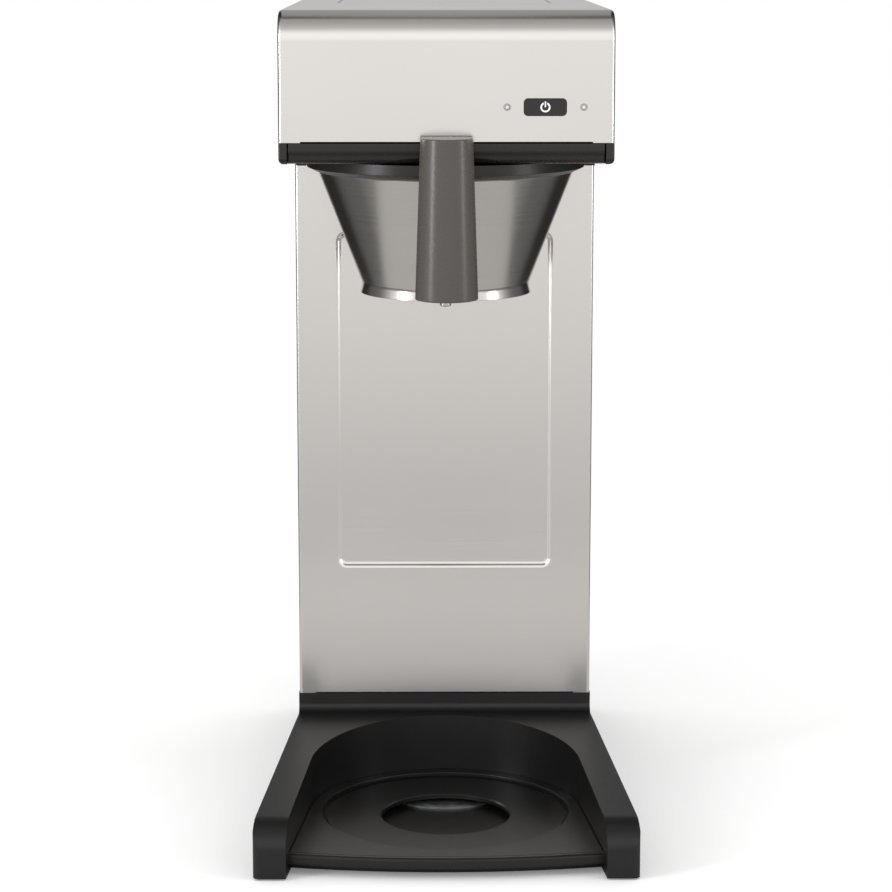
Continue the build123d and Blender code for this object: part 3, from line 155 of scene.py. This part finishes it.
# Floor: a matt white table top. It shows as plain white, with the soft shadow that the
# machine leaves round its foot.
def new_material(name):
    """A material with an empty Principled surface."""
    material = bpy.data.materials.new(name)
    material.use_nodes = True
    shader = material.node_tree.nodes["Principled BSDF"]
    return material, material.node_tree, shader


bpy.ops.object.select_all(action="DESELECT")
bpy.ops.mesh.primitive_plane_add(size=1, location=(0, 0, 0))
floor = bpy.context.object
floor.name = "floor"
floor.scale = (1.12, 1.5, 1)
floor.location = (0, 0.15, 0)
floor_paint, tree, shader = new_material("matt_white_table")
shader.inputs["Roughness"].default_value = 0.9
shader.inputs["Specular IOR Level"].default_value = 0.1
lit = add_node(tree, "ShaderNodeEmission", Color=(1, 1, 1, 1), Strength=0.14)
floor_sum = add_node(tree, "ShaderNodeAddShader", {0: shader.outputs[0], 1: lit.outputs[0]})
floor_path = add_node(tree, "ShaderNodeLightPath")
# For glossy rays the table's colour is painted a darker grey (#c4c4c4 against #f2f2f2): a painted shade
# in the steel's reflection of the floor.
floor_tone = add_node(tree, "ShaderNodeMix", {0: floor_path.outputs["Is Glossy Ray"]}, data_type="RGBA")
floor_tone.inputs[6].default_value = linear("#f2f2f2")
floor_tone.inputs[7].default_value = linear("#c4c4c4")
tree.links.new(floor_tone.outputs[2], shader.inputs["Base Color"])
floor_seen = add_node(tree, "ShaderNodeMath", {0: floor_path.outputs["Is Camera Ray"],
                      1: floor_path.outputs["Is Transmission Ray"]}, operation="MAXIMUM")
floor_mix = add_node(tree, "ShaderNodeMixShader", {0: floor_seen.outputs[0],
                     1: shader.outputs[0], 2: floor_sum.outputs[0]})
tree.links.new(floor_mix.outputs[0], tree.nodes["Material Output"].inputs["Surface"])
floor.data.materials.append(floor_paint)


# Moulded base: glass-filled nylon, injection moulded with a fine eroded grain. The grain
# breaks the highlights into a soft sheen, and every edge has a small mould radius.
merge_gap = 0.002
flat_angle = 0.3
sharp_angle = 30.0
edge_cuts = 3
grain_strength = 0.6
plastic_shine = 0.42


def finished_copy(node, name, edge, reshape=None):
    """A merged copy of a CAD node, reshaped if need be, with rounded edges and smooth faces."""
    source = bpy.data.objects[node]
    piece = source.copy()
    piece.data = source.data.copy()
    piece.name = name
    piece.data.materials.clear()
    bpy.context.scene.collection.objects.link(piece)
    bpy.ops.object.select_all(action="DESELECT")
    bpy.context.view_layer.objects.active = piece
    piece.select_set(True)
    bpy.ops.object.mode_set(mode="EDIT")
    bpy.ops.mesh.select_all(action="SELECT")
    bpy.ops.mesh.remove_doubles(threshold=merge_gap * mm)
    bpy.ops.mesh.dissolve_limited(angle_limit=radians(flat_angle))
    bpy.ops.object.mode_set(mode="OBJECT")
    if reshape:
        reshape(piece)
    bpy.ops.object.shade_smooth()
    bevel = piece.modifiers.new("mould_radius", "BEVEL")
    bevel.width = edge * mm
    bevel.segments = edge_cuts
    bevel.limit_method = "ANGLE"
    bevel.angle_limit = radians(sharp_angle)
    bevel.use_clamp_overlap = True
    bpy.ops.object.modifier_apply(modifier=bevel.name)
    weights = piece.modifiers.new("flat_faces", "WEIGHTED_NORMAL")
    weights.weight = 100
    bpy.ops.object.modifier_apply(modifier=weights.name)
    return piece


def finish_piece(piece, material, body, slot, *nodes):
    """Give a piece its material, the body that it rides on and the nodes that it stands for."""
    piece.data.materials.append(material)
    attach(piece, body)
    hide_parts(*nodes)


def spread(tree, value, low, high, **limits):
    """A value from 0 to 1, or between other limits, brought to a range."""
    return add_node(tree, "ShaderNodeMapRange", {0: value}, To_Min=low, To_Max=high, **limits).outputs[0]


def paint_surface(tree, shader, colour, tint, gloss, relief=None):
    """Drive a surface's colour and roughness, and its relief by (height, strength, depth in mm)."""
    paint = add_node(tree, "ShaderNodeVectorMath", {1: tint}, operation="MULTIPLY")
    paint.inputs[0].default_value = linear(colour)[:3]
    tree.links.new(paint.outputs[0], shader.inputs["Base Color"])
    tree.links.new(gloss, shader.inputs["Roughness"])
    if relief:
        height, strength, depth = relief
        bump = add_node(tree, "ShaderNodeBump", {"Height": height}, Strength=strength,
                        Distance=depth * mm)
        tree.links.new(bump.outputs[0], shader.inputs["Normal"])


def moulded_plastic(name, colour, roughness, grain, depth, variation=0.12):
    """Moulded plastic with an eroded grain, whose spacing and depth are in millimetres."""
    material, tree, shader = new_material(name)
    place = add_node(tree, "ShaderNodeTexCoord")
    spots = add_node(tree, "ShaderNodeTexNoise", {"Vector": place.outputs["Object"]},
                     Scale=1 / (grain * mm), Detail=2.0, Roughness=0.6).outputs["Fac"]
    clouds = add_node(tree, "ShaderNodeTexNoise", {"Vector": place.outputs["Object"]},
                      Scale=14.0).outputs["Fac"]
    tint = add_node(tree, "ShaderNodeMath", {0: spread(tree, clouds, 1 - variation, 1 + variation),
                    1: spread(tree, spots, 1 - variation, 1 + variation)}, operation="MULTIPLY")
    gloss = spread(tree, spots, roughness - variation / 2, roughness + variation / 2)
    paint_surface(tree, shader, colour, tint.outputs[0], gloss, (spots, grain_strength, depth))
    shader.inputs["Specular IOR Level"].default_value = plastic_shine
    return material


grained_black = moulded_plastic("grained_black_nylon", "#141313", 0.36, 1.1, 0.1)
finish_piece(finished_copy("base_shell", "base_moulding", edge=0.9), grained_black,
             "machine", "black_plastic", "base_shell")
finish_piece(finished_copy("deck_plate", "deck_ring", edge=0.5), grained_black,
             "machine", "black_plastic", "deck_plate")


# Column and head: folded stainless sheet, brushed along its width before folding. The
# brushing shows as fine level lines, which stretch the highlights up and down.
def brushed_steel(name, colour, roughness, line_spacing, line_length):
    """Stainless sheet brushed level, with the lines' spacing and length in millimetres."""
    material, tree, shader = new_material(name)
    place = add_node(tree, "ShaderNodeTexCoord")
    stretch = add_node(tree, "ShaderNodeMapping", {"Vector": place.outputs["Object"]})
    across = 1 / (line_spacing * mm)
    stretch.inputs["Scale"].default_value = (1 / (line_length * mm), across, across)
    lines = add_node(tree, "ShaderNodeTexNoise", {"Vector": stretch.outputs[0]}, Scale=1.0, Detail=4.0,
                     Roughness=0.7).outputs["Fac"]
    clouds = add_node(tree, "ShaderNodeTexNoise", {"Vector": place.outputs["Object"]}, Scale=6.0)
    both = add_node(tree, "ShaderNodeMath", {0: lines, 1: clouds.outputs["Fac"]}, operation="ADD")
    gloss = spread(tree, both.outputs[0], roughness - 0.05, roughness + 0.05, From_Min=0.6, From_Max=1.4)
    paint_surface(tree, shader, colour, spread(tree, lines, 0.985, 1.01), gloss, (lines, 0.03, 0.01))
    shader.inputs["Metallic"].default_value = 1.0
    return material


column_front_y = 12.5
press_half = 71.5
press_low = 153.0
press_high = 380.0
press_radius = 5.5
corner_cuts = 8
press_profile = ((-1.1, 0.0), (-0.6, 0.04), (-0.1, 0.14), (0.4, 0.34), (0.8, 0.6), (1.2, 0.92),
                 (1.6, 1.2), (2.1, 1.39), (2.7, 1.47), (3.3, 1.5))


def press_rectangle(piece):
    """Rebuild the sheet's flat front with a soft pressed rectangle, ring by ring."""
    shape = bmesh.new()
    shape.from_mesh(piece.data)
    seam = 0.01
    deepest = column_front_y + press_profile[-1][1]
    old_faces = []
    for face in shape.faces:
        places = [vertex.co / mm for vertex in face.verts]
        on_front = all(abs(at.y - column_front_y) < seam for at in places)
        in_press = all(at.y < deepest + seam and abs(at.x) < press_half + seam
                       and press_low - seam < at.z < press_high + seam for at in places)
        if on_front or in_press:
            old_faces.append(face)
    bmesh.ops.delete(shape, geom=old_faces, context="FACES")
    border = [edge for edge in shape.edges if edge.is_boundary]
    reach_x = press_half - press_radius
    reach_z = (press_high - press_low) / 2 - press_radius
    rings = []
    for inset, depth in press_profile:
        ring = []
        for quarter, (side, end) in enumerate(((1, 1), (-1, 1), (-1, -1), (1, -1))):
            for step in range(corner_cuts + 1):
                turn = (quarter + step / corner_cuts) * pi / 2
                x = side * reach_x + (press_radius - inset) * cos(turn)
                z = (press_low + press_high) / 2 + end * reach_z + (press_radius - inset) * sin(turn)
                ring.append(shape.verts.new((x * mm, (column_front_y + depth) * mm, z * mm)))
        rings.append(ring)
    for outer, inner in zip(rings, rings[1:]):
        for i in range(len(outer)):
            shape.faces.new((outer[i - 1], outer[i], inner[i], inner[i - 1]))
    shape.faces.new(rings[-1])
    border += [shape.edges.get((rings[0][i - 1], rings[0][i])) for i in range(len(rings[0]))]
    bmesh.ops.triangle_fill(shape, use_beauty=True, edges=border)
    bmesh.ops.recalc_face_normals(shape, faces=shape.faces)
    shape.to_mesh(piece.data)
    shape.free()


brushed_sheet = brushed_steel("brushed_stainless_sheet", "#dfdbd7", 0.2, 0.6, 90.0)
finish_piece(finished_copy("column_shell", "column_sheet", edge=0.45, reshape=press_rectangle),
             brushed_sheet, "machine", "steel", "column_shell")
finish_piece(finished_copy("head_cover", "head_sheet", edge=0.15), brushed_sheet,
             "machine", "steel", "head_cover")
finish_piece(finished_copy("rear_panel", "rear_sheet", edge=0.15), brushed_sheet,
             "machine", "steel", "rear_panel")
finish_piece(finished_copy("fill_lid", "lid_sheet", edge=0.25), brushed_sheet,
             "lid", "steel", "fill_lid")


# Band and end trims under the head: satin ABS, each a straight moulding that curves under
# at its foot, a little apart where they meet. The curve makes them darker towards the foot.
def start_block(name, low, high):
    """A cube primitive brought to its size and place in millimetres, ready for edit mode."""
    bpy.ops.object.select_all(action="DESELECT")
    bpy.ops.mesh.primitive_cube_add(size=1, location=[(a + b) / 2 * mm for a, b in zip(low, high)])
    piece = bpy.context.object
    piece.name = name
    piece.scale = [(b - a) * mm for a, b in zip(low, high)]
    bpy.ops.object.transform_apply(location=True, rotation=False, scale=True)
    return piece


def round_edges(piece, radius, segments, chosen):
    """Bevel the edges whose middle, in millimetres, and direction a test picks."""
    bpy.ops.object.mode_set(mode="EDIT")
    bpy.ops.mesh.select_mode(type="EDGE")
    bpy.ops.mesh.select_all(action="DESELECT")
    shape = bmesh.from_edit_mesh(piece.data)
    for edge in shape.edges:
        a, b = (v.co / mm for v in edge.verts)
        edge.select_set(chosen((a + b) / 2, (b - a).normalized()))
    bmesh.update_edit_mesh(piece.data)
    bpy.ops.mesh.bevel(offset=radius * mm, segments=segments, affect="EDGES")
    bpy.ops.object.mode_set(mode="OBJECT")


def smooth_faces(piece, angle=35.0):
    """Shade a piece smooth, with its flat faces kept flat."""
    bpy.ops.object.select_all(action="DESELECT")
    bpy.context.view_layer.objects.active = piece
    piece.select_set(True)
    bpy.ops.object.shade_smooth_by_angle(angle=radians(angle))
    weights = piece.modifiers.new("flat_faces", "WEIGHTED_NORMAL")
    weights.keep_sharp = True
    bpy.ops.object.modifier_apply(modifier=weights.name)


satin_dark = moulded_plastic("satin_dark_abs", "#211d1b", 0.28, 1.4, 0.008)
head_half = 100.0
head_front_y = -170.5
head_rear_y = 202.5
band_low = 440.0
band_high = 452.6
trim_width = 5.0
band_depth = 8.0
band_gap = 0.9
band_foot_radius = 8.5
band_edge_radius = 0.35
trim_foot_radius = 3.4
trim_corner_radius = 1.2
near = 1.0
along_axis = 0.9
band_reach = head_half - trim_width - band_gap
band = start_block("band_front", (-band_reach, head_front_y, band_low),
                   (band_reach, head_front_y + band_depth, band_high))
round_edges(band, band_foot_radius, 12, lambda at, along: at.y < head_front_y + near
            and at.z < band_low + near and abs(along.x) > along_axis)
round_edges(band, band_edge_radius, 3, lambda at, along: abs(abs(at.x) - band_reach) < near / 10
            or at.z > band_high - near / 10)
smooth_faces(band)
finish_piece(band, satin_dark, "machine", "band_plastic", "front_band")
for side, node, name in ((-1, "side_trim_left", "band_left"), (1, "side_trim_right", "band_right")):
    inner, outer = sorted((side * (head_half - trim_width), side * head_half))
    trim = start_block(name, (inner, head_front_y, band_low), (outer, head_rear_y, band_high))
    round_edges(trim, trim_foot_radius, 8, lambda at, along: at.z < band_low + near
                and (at.y < head_front_y + near
                     or (abs(along.y) > along_axis and abs(at.x) > head_half - near)))
    round_edges(trim, trim_corner_radius, 4, lambda at, along: abs(along.z) > along_axis
                and at.y < head_front_y + near and abs(at.x) > head_half - near)
    smooth_faces(trim)
    finish_piece(trim, satin_dark, "machine", "band_plastic", node)


# Basket cone: stainless sheet spun on a lathe over a form, with a flared foot and a lip
# rolled over the rim. The tool leaves fine rings, and the sheet is polished after.
def turned(name, outline, centre, upright=True, steps=96):
    """A closed outline of (radius, height, corner radius) spun round an axis, in millimetres."""
    bpy.ops.object.select_all(action="DESELECT")
    bpy.ops.mesh.primitive_circle_add(vertices=len(outline), radius=mm)
    piece = bpy.context.object
    piece.name = name
    x, y, z = centre
    for vertex, (radius, height, corner) in zip(piece.data.vertices, outline):
        place = (x + radius, y, z + height) if upright else (x + radius, y + height, z)
        vertex.co = [value * mm for value in place]
    corners = {}
    for vertex, (radius, height, corner) in zip(piece.data.vertices, outline):
        if corner:
            corners.setdefault(corner, []).append(vertex.co.copy())
    bpy.ops.object.mode_set(mode="EDIT")
    bpy.ops.mesh.select_mode(type="VERT")
    for corner, places in corners.items():
        bpy.ops.mesh.select_all(action="DESELECT")
        shape = bmesh.from_edit_mesh(piece.data)
        for vertex in shape.verts:
            vertex.select_set(any((vertex.co - place).length < 1e-7 for place in places))
        bmesh.update_edit_mesh(piece.data)
        bpy.ops.mesh.bevel(offset=corner * mm, segments=4, affect="VERTICES")
    bpy.ops.mesh.select_all(action="SELECT")
    bpy.ops.mesh.spin(steps=steps, angle=2 * pi, center=[value * mm for value in centre],
                      axis=(0, 0, 1) if upright else (0, 1, 0))
    bpy.ops.mesh.select_all(action="SELECT")
    bpy.ops.mesh.remove_doubles(threshold=merge_gap * mm)
    bpy.ops.mesh.delete_loose()
    bpy.ops.mesh.select_all(action="SELECT")
    bpy.ops.mesh.normals_make_consistent(inside=False)
    bpy.ops.object.mode_set(mode="OBJECT")
    return piece


def lathe_steel(name, colour, roughness, axis_y, ring_spacing):
    """Stainless steel with fine lathe rings round the basket's axis, spaced in millimetres."""
    material, tree, shader = new_material(name)
    place = add_node(tree, "ShaderNodeTexCoord")
    centre = add_node(tree, "ShaderNodeVectorMath", {0: place.outputs["Object"]}, operation="SUBTRACT")
    centre.inputs[1].default_value = (0, axis_y * mm, 0)
    parts = add_node(tree, "ShaderNodeSeparateXYZ", {0: centre.outputs[0]})
    flat = add_node(tree, "ShaderNodeCombineXYZ", {0: parts.outputs[0], 1: parts.outputs[1]})
    radius = add_node(tree, "ShaderNodeVectorMath", {0: flat.outputs[0]}, operation="LENGTH")
    rings = add_node(tree, "ShaderNodeCombineXYZ", {0: radius.outputs["Value"], 2: parts.outputs[2]})
    lines = add_node(tree, "ShaderNodeTexNoise", {"Vector": rings.outputs[0]},
                     Scale=1 / (ring_spacing * mm), Detail=3.0).outputs["Fac"]
    paint_surface(tree, shader, colour, spread(tree, lines, 0.9, 1.06),
                  spread(tree, lines, roughness - 0.05, roughness + 0.05), (lines, 0.2, 0.012))
    shader.inputs["Metallic"].default_value = 1.0
    return material


basket_y = -86.5
spun_sheet = lathe_steel("spun_stainless_sheet", "#c9c5c0", 0.16, basket_y, 1.2)
cone = turned("basket_sheet", (
    (3.7, 360.4, 0), (51.5, 360.4, 0.6), (78.9, 430.0, 1.0), (78.9, 439.4, 0.3), (83.3, 439.4, 0.25),
    (83.3, 438.6, 0.25), (79.7, 438.6, 0.3), (79.7, 430.0, 1.0), (52.3, 359.6, 1.4),
    (53.7, 353.9, 0.3), (52.9, 353.9, 0.3), (51.5, 359.6, 1.0), (3.7, 359.6, 0)),
    (0, basket_y, 0), steps=128)
smooth_faces(cone, 40.0)
finish_piece(cone, spun_sheet, "basket", "steel", "basket_cone")


# Basket collar: black ABS with a runner on each side, and a tab that the grip is screwed
# to. The cone's lip lies in a step in its top.
satin_black = moulded_plastic("satin_black_abs", "#171514", 0.32, 1.2, 0.02)
finish_piece(finished_copy("basket_rim", "basket_collar", edge=0.5), satin_black,
             "basket", "black_plastic", "basket_rim")


# Basket grip: a hollow phenolic moulding, wider at its foot and round at the front.
# It has a satin face with a soft bloom from handling.
phenolic_grey = moulded_plastic("satin_grey_phenolic", "#4e4a47", 0.27, 1.6, 0.002, variation=0.04)
finish_piece(finished_copy("basket_handle", "basket_grip", edge=0.8), phenolic_grey,
             "basket", "handle_plastic", "basket_handle")


# Basket spout: turned stainless tube with a flange inside the cone and a hexagon nut
# outside it. The tip is chamfered so that it drips clean.
turned_steel = lathe_steel("turned_stainless_steel", "#c4c1bd", 0.24, basket_y, 0.6)
spout = turned("drip_spout", (
    (2.4, 344.0, 0.3), (3.65, 344.6, 0.4), (3.65, 360.4, 0), (8.0, 360.4, 0.2), (8.0, 361.6, 0.3),
    (2.4, 361.6, 0.3)), (0, basket_y, 0), steps=48)
smooth_faces(spout, 40.0)
finish_piece(spout, turned_steel, "basket", "screw_steel", "basket_spout")
finish_piece(finished_copy("spout_nut", "spout_hexagon", edge=0.3), turned_steel,
             "basket", "screw_steel", "spout_nut")


# Power button: satin black ABS in a close opening, with its white symbol let in.
# The cap is softly rounded, so its upper edge catches the light.
button_black = moulded_plastic("satin_button_abs", "#242323", 0.36, 0.8, 0.01)
finish_piece(finished_copy("button_cap", "power_button", edge=0.6), button_black,
             "button", "button_plastic", "button_cap")
symbol_white = moulded_plastic("printed_white", "#f0efed", 0.5, 0.4, 0.004, variation=0.03)
finish_piece(finished_copy("power_symbol", "power_sign", edge=0.05), symbol_white,
             "button", "print_white", "power_symbol")


# Lights: a grey ring round the domed end of a clear light pipe, one each side of the
# button. The pipe is cast acrylic, frosted at its face.
ring_grey = moulded_plastic("satin_grey_abs", "#a5a29f", 0.38, 0.5, 0.01, variation=0.05)
lens_clear, tree, shader = new_material("frosted_clear_acrylic")
place = add_node(tree, "ShaderNodeTexCoord")
frost = add_node(tree, "ShaderNodeTexNoise", {"Vector": place.outputs["Object"]},
                 Scale=1 / (0.3 * mm), Detail=3.0).outputs["Fac"]
paint_surface(tree, shader, "#e6e4e1", spread(tree, frost, 0.9, 1.05), spread(tree, frost, 0.18, 0.34),
              (frost, 0.3, 0.01))
shader.inputs["IOR"].default_value = 1.49
shader.inputs["Transmission Weight"].default_value = 0.1
light_z = 474.1
steel_inner_y = head_front_y + 1.0
for light_x, side in ((36.0, "left"), (81.5, "right")):
    ring = turned(f"light_bezel_{side}", (
        (1.45, 1.0, 0), (3.2, 1.0, 0.2), (3.2, 0.0, 0), (2.15, 0.0, 0), (2.15, -1.6, 0.35),
        (1.45, -1.6, 0.2)), (light_x, steel_inner_y, light_z), upright=False, steps=40)
    smooth_faces(ring, 40.0)
    finish_piece(ring, ring_grey, "machine", "grey_plastic", f"light_ring_{side}")
    pipe = turned(f"light_lens_{side}", (
        (0, -1.6, 0), (0.7, -1.5, 0), (1.15, -1.25, 0), (1.4, -0.8, 0), (1.4, 21.9, 0), (0, 21.9, 0)),
        (light_x, steel_inner_y, light_z), upright=False, steps=32)
    smooth_faces(pipe, 50.0)
    finish_piece(pipe, lens_clear, "machine", "clear_plastic", f"light_pipe_{side}")


# Plain black mouldings that mostly face down or back: bottom cover, tray under the head,
# basket rails, mains inlet and the switch's body. They have the base's grain.
def refinish(material, *nodes):
    """Put a material in every slot of the named nodes."""
    for node in nodes:
        for place in bpy.data.objects[node].material_slots:
            place.material = material


refinish(grained_black, "bottom_cover", "head_tray", "rail_left", "rail_right", "mains_inlet",
         "switch_body")


# Galvanised plates: the chassis in the base, whose tongue shows in the middle hole, and
# the brackets. Hot-dip zinc sets in grains of a few millimetres with their own sheen.
zinc_sheet, tree, shader = new_material("galvanised_steel")
place = add_node(tree, "ShaderNodeTexCoord")
spangle = add_node(tree, "ShaderNodeTexVoronoi", {"Vector": place.outputs["Object"]},
                   Scale=1 / (5.0 * mm)).outputs["Color"]
paint_surface(tree, shader, "#c6c8c9", spread(tree, spangle, 0.82, 1.1),
              spread(tree, spangle, 0.32, 0.5))
shader.inputs["Metallic"].default_value = 1.0
refinish(zinc_sheet, "chassis_plate", "heater_bracket", "control_bracket")


# Screws: zinc-plated steel with pan heads and a cross recess. Four hold the rear panel,
# four the bottom cover and two the basket's grip.
def pan_screws(name, shank_radius, shank_length, axis, places):
    """Copies of one pan-head screw, joined, with each head's underside at its place."""
    screw = turned(name, (
        (0, -shank_length, 0), (shank_radius, -shank_length, 0), (shank_radius, 0, 0), (3.5, 0, 0),
        (3.5, 0.6, 0), (3.2, 1.1, 0), (2.4, 1.4, 0), (0, 1.5, 0)), (0, 0, 0), steps=32)
    for across, along in ((1.7, 0.35), (0.35, 1.7)):
        bar = start_block("cross_cutter", (-across, -along, 0.6), (across, along, 2.0))
        bpy.ops.object.select_all(action="DESELECT")
        bpy.context.view_layer.objects.active = screw
        screw.select_set(True)
        cut = screw.modifiers.new("cross_recess", "BOOLEAN")
        cut.operation = "DIFFERENCE"
        cut.object = bar
        bpy.ops.object.modifier_apply(modifier=cut.name)
        bpy.data.objects.remove(bar)
    turn = Vector((0, 0, 1)).rotation_difference(Vector(axis)).to_matrix().to_4x4()
    copies = []
    for place in places:
        copy = screw.copy()
        copy.data = screw.data.copy()
        copy.data.transform(Matrix.Translation([value * mm for value in place]) @ turn)
        bpy.context.scene.collection.objects.link(copy)
        copies.append(copy)
    bpy.data.objects.remove(screw)
    bpy.ops.object.select_all(action="DESELECT")
    for copy in copies:
        copy.select_set(True)
    bpy.context.view_layer.objects.active = copies[0]
    bpy.ops.object.join()
    copies[0].name = name
    smooth_faces(copies[0])
    return copies[0]


def plain_metal(name, colour, roughness, speck):
    """Bare or plated metal with a cloudy sheen, its specks spaced in millimetres."""
    material, tree, shader = new_material(name)
    place = add_node(tree, "ShaderNodeTexCoord")
    cloud = add_node(tree, "ShaderNodeTexNoise", {"Vector": place.outputs["Object"]},
                     Scale=1 / (speck * mm), Detail=4.0).outputs["Fac"]
    paint_surface(tree, shader, colour, spread(tree, cloud, 0.85, 1.1),
                  spread(tree, cloud, roughness - 0.08, roughness + 0.08), (cloud, 0.2, 0.02))
    shader.inputs["Metallic"].default_value = 1.0
    return material


zinc_plated = plain_metal("zinc_plated_steel", "#b9bab8", 0.34, 1.5)
finish_piece(pan_screws("rear_screws", 1.7, 3.0, (0, 1, 0),
                        [(x, 200.5, z) for x in (-91, 91) for z in (89.5, 415)]),
             zinc_plated, "machine", "screw_steel", "rear_panel_screws")
finish_piece(pan_screws("cover_base_screws", 1.75, 10.8, (0, 0, -1),
                        [(x * side, y, 2.7) for x, y in ((106.5, -145), (88, 165)) for side in (-1, 1)]),
             zinc_plated, "machine", "screw_steel", "base_screws")
finish_piece(pan_screws("grip_screws", 1.75, 9.0, (0, 0, -1), [(0, -189, 434.2), (0, -179, 434.2)]),
             zinc_plated, "basket", "screw_steel", "handle_screws")


# Feet: soft black rubber pads with a slightly rounded edge, pressed into the bottom cover
# by a pin each. The rubber is matt, with a faint bloom.
feet = []
for x, y in ((-108, -168), (108, -168), (-84, 184), (84, 184)):
    feet.append(turned("foot_pad", (
        (0, 0.0, 0), (6.1, 0.0, 0.2), (6.5, 0.3, 0.15), (6.5, 1.2, 0), (2.5, 1.2, 0), (2.5, 4.6, 0.3),
        (0, 4.6, 0)), (x, y, 0), steps=40))
bpy.ops.object.select_all(action="DESELECT")
for foot in feet:
    foot.select_set(True)
bpy.context.view_layer.objects.active = feet[0]
bpy.ops.object.join()
feet[0].name = "foot_pads"
smooth_faces(feet[0], 40.0)
soft_rubber = moulded_plastic("soft_black_rubber", "#1a1a1a", 0.75, 0.7, 0.02)
finish_piece(feet[0], soft_rubber, "machine", "rubber", "rubber_feet")


# Inner parts whose shape is already right keep it, and only get their real finish: the
# plain metals, the silicone hoses, the white mouldings, the circuit board and the brass.
refinish(zinc_plated, "earth_screw", "heater_screws", "cover_screws", "lid_hinge_pin", "hose_clamps")
refinish(plain_metal("plain_stainless_steel", "#c3c1bd", 0.28, 2.0), "heater_tube", "heater_element",
         "thermostat", "spray_plate", "filter_grid")
refinish(plain_metal("cast_aluminium", "#b5b6b7", 0.5, 1.2), "heater_block")
refinish(plain_metal("drawn_brass", "#c9a55c", 0.3, 1.0), "inlet_pins")
refinish(moulded_plastic("milky_silicone", "#d6d2c8", 0.5, 1.0, 0.01, variation=0.04),
         "supply_hose", "transfer_hose", "riser_hose")
refinish(moulded_plastic("white_polypropylene", "#dcdad4", 0.42, 1.2, 0.015, variation=0.03),
         "water_tank", "fill_strainer", "spray_head", "check_valve", "terminal_block", "thermal_fuse",
         "switch_plunger")
refinish(moulded_plastic("green_solder_mask", "#1f5a37", 0.35, 2.5, 0.02, variation=0.15),
         "control_board")
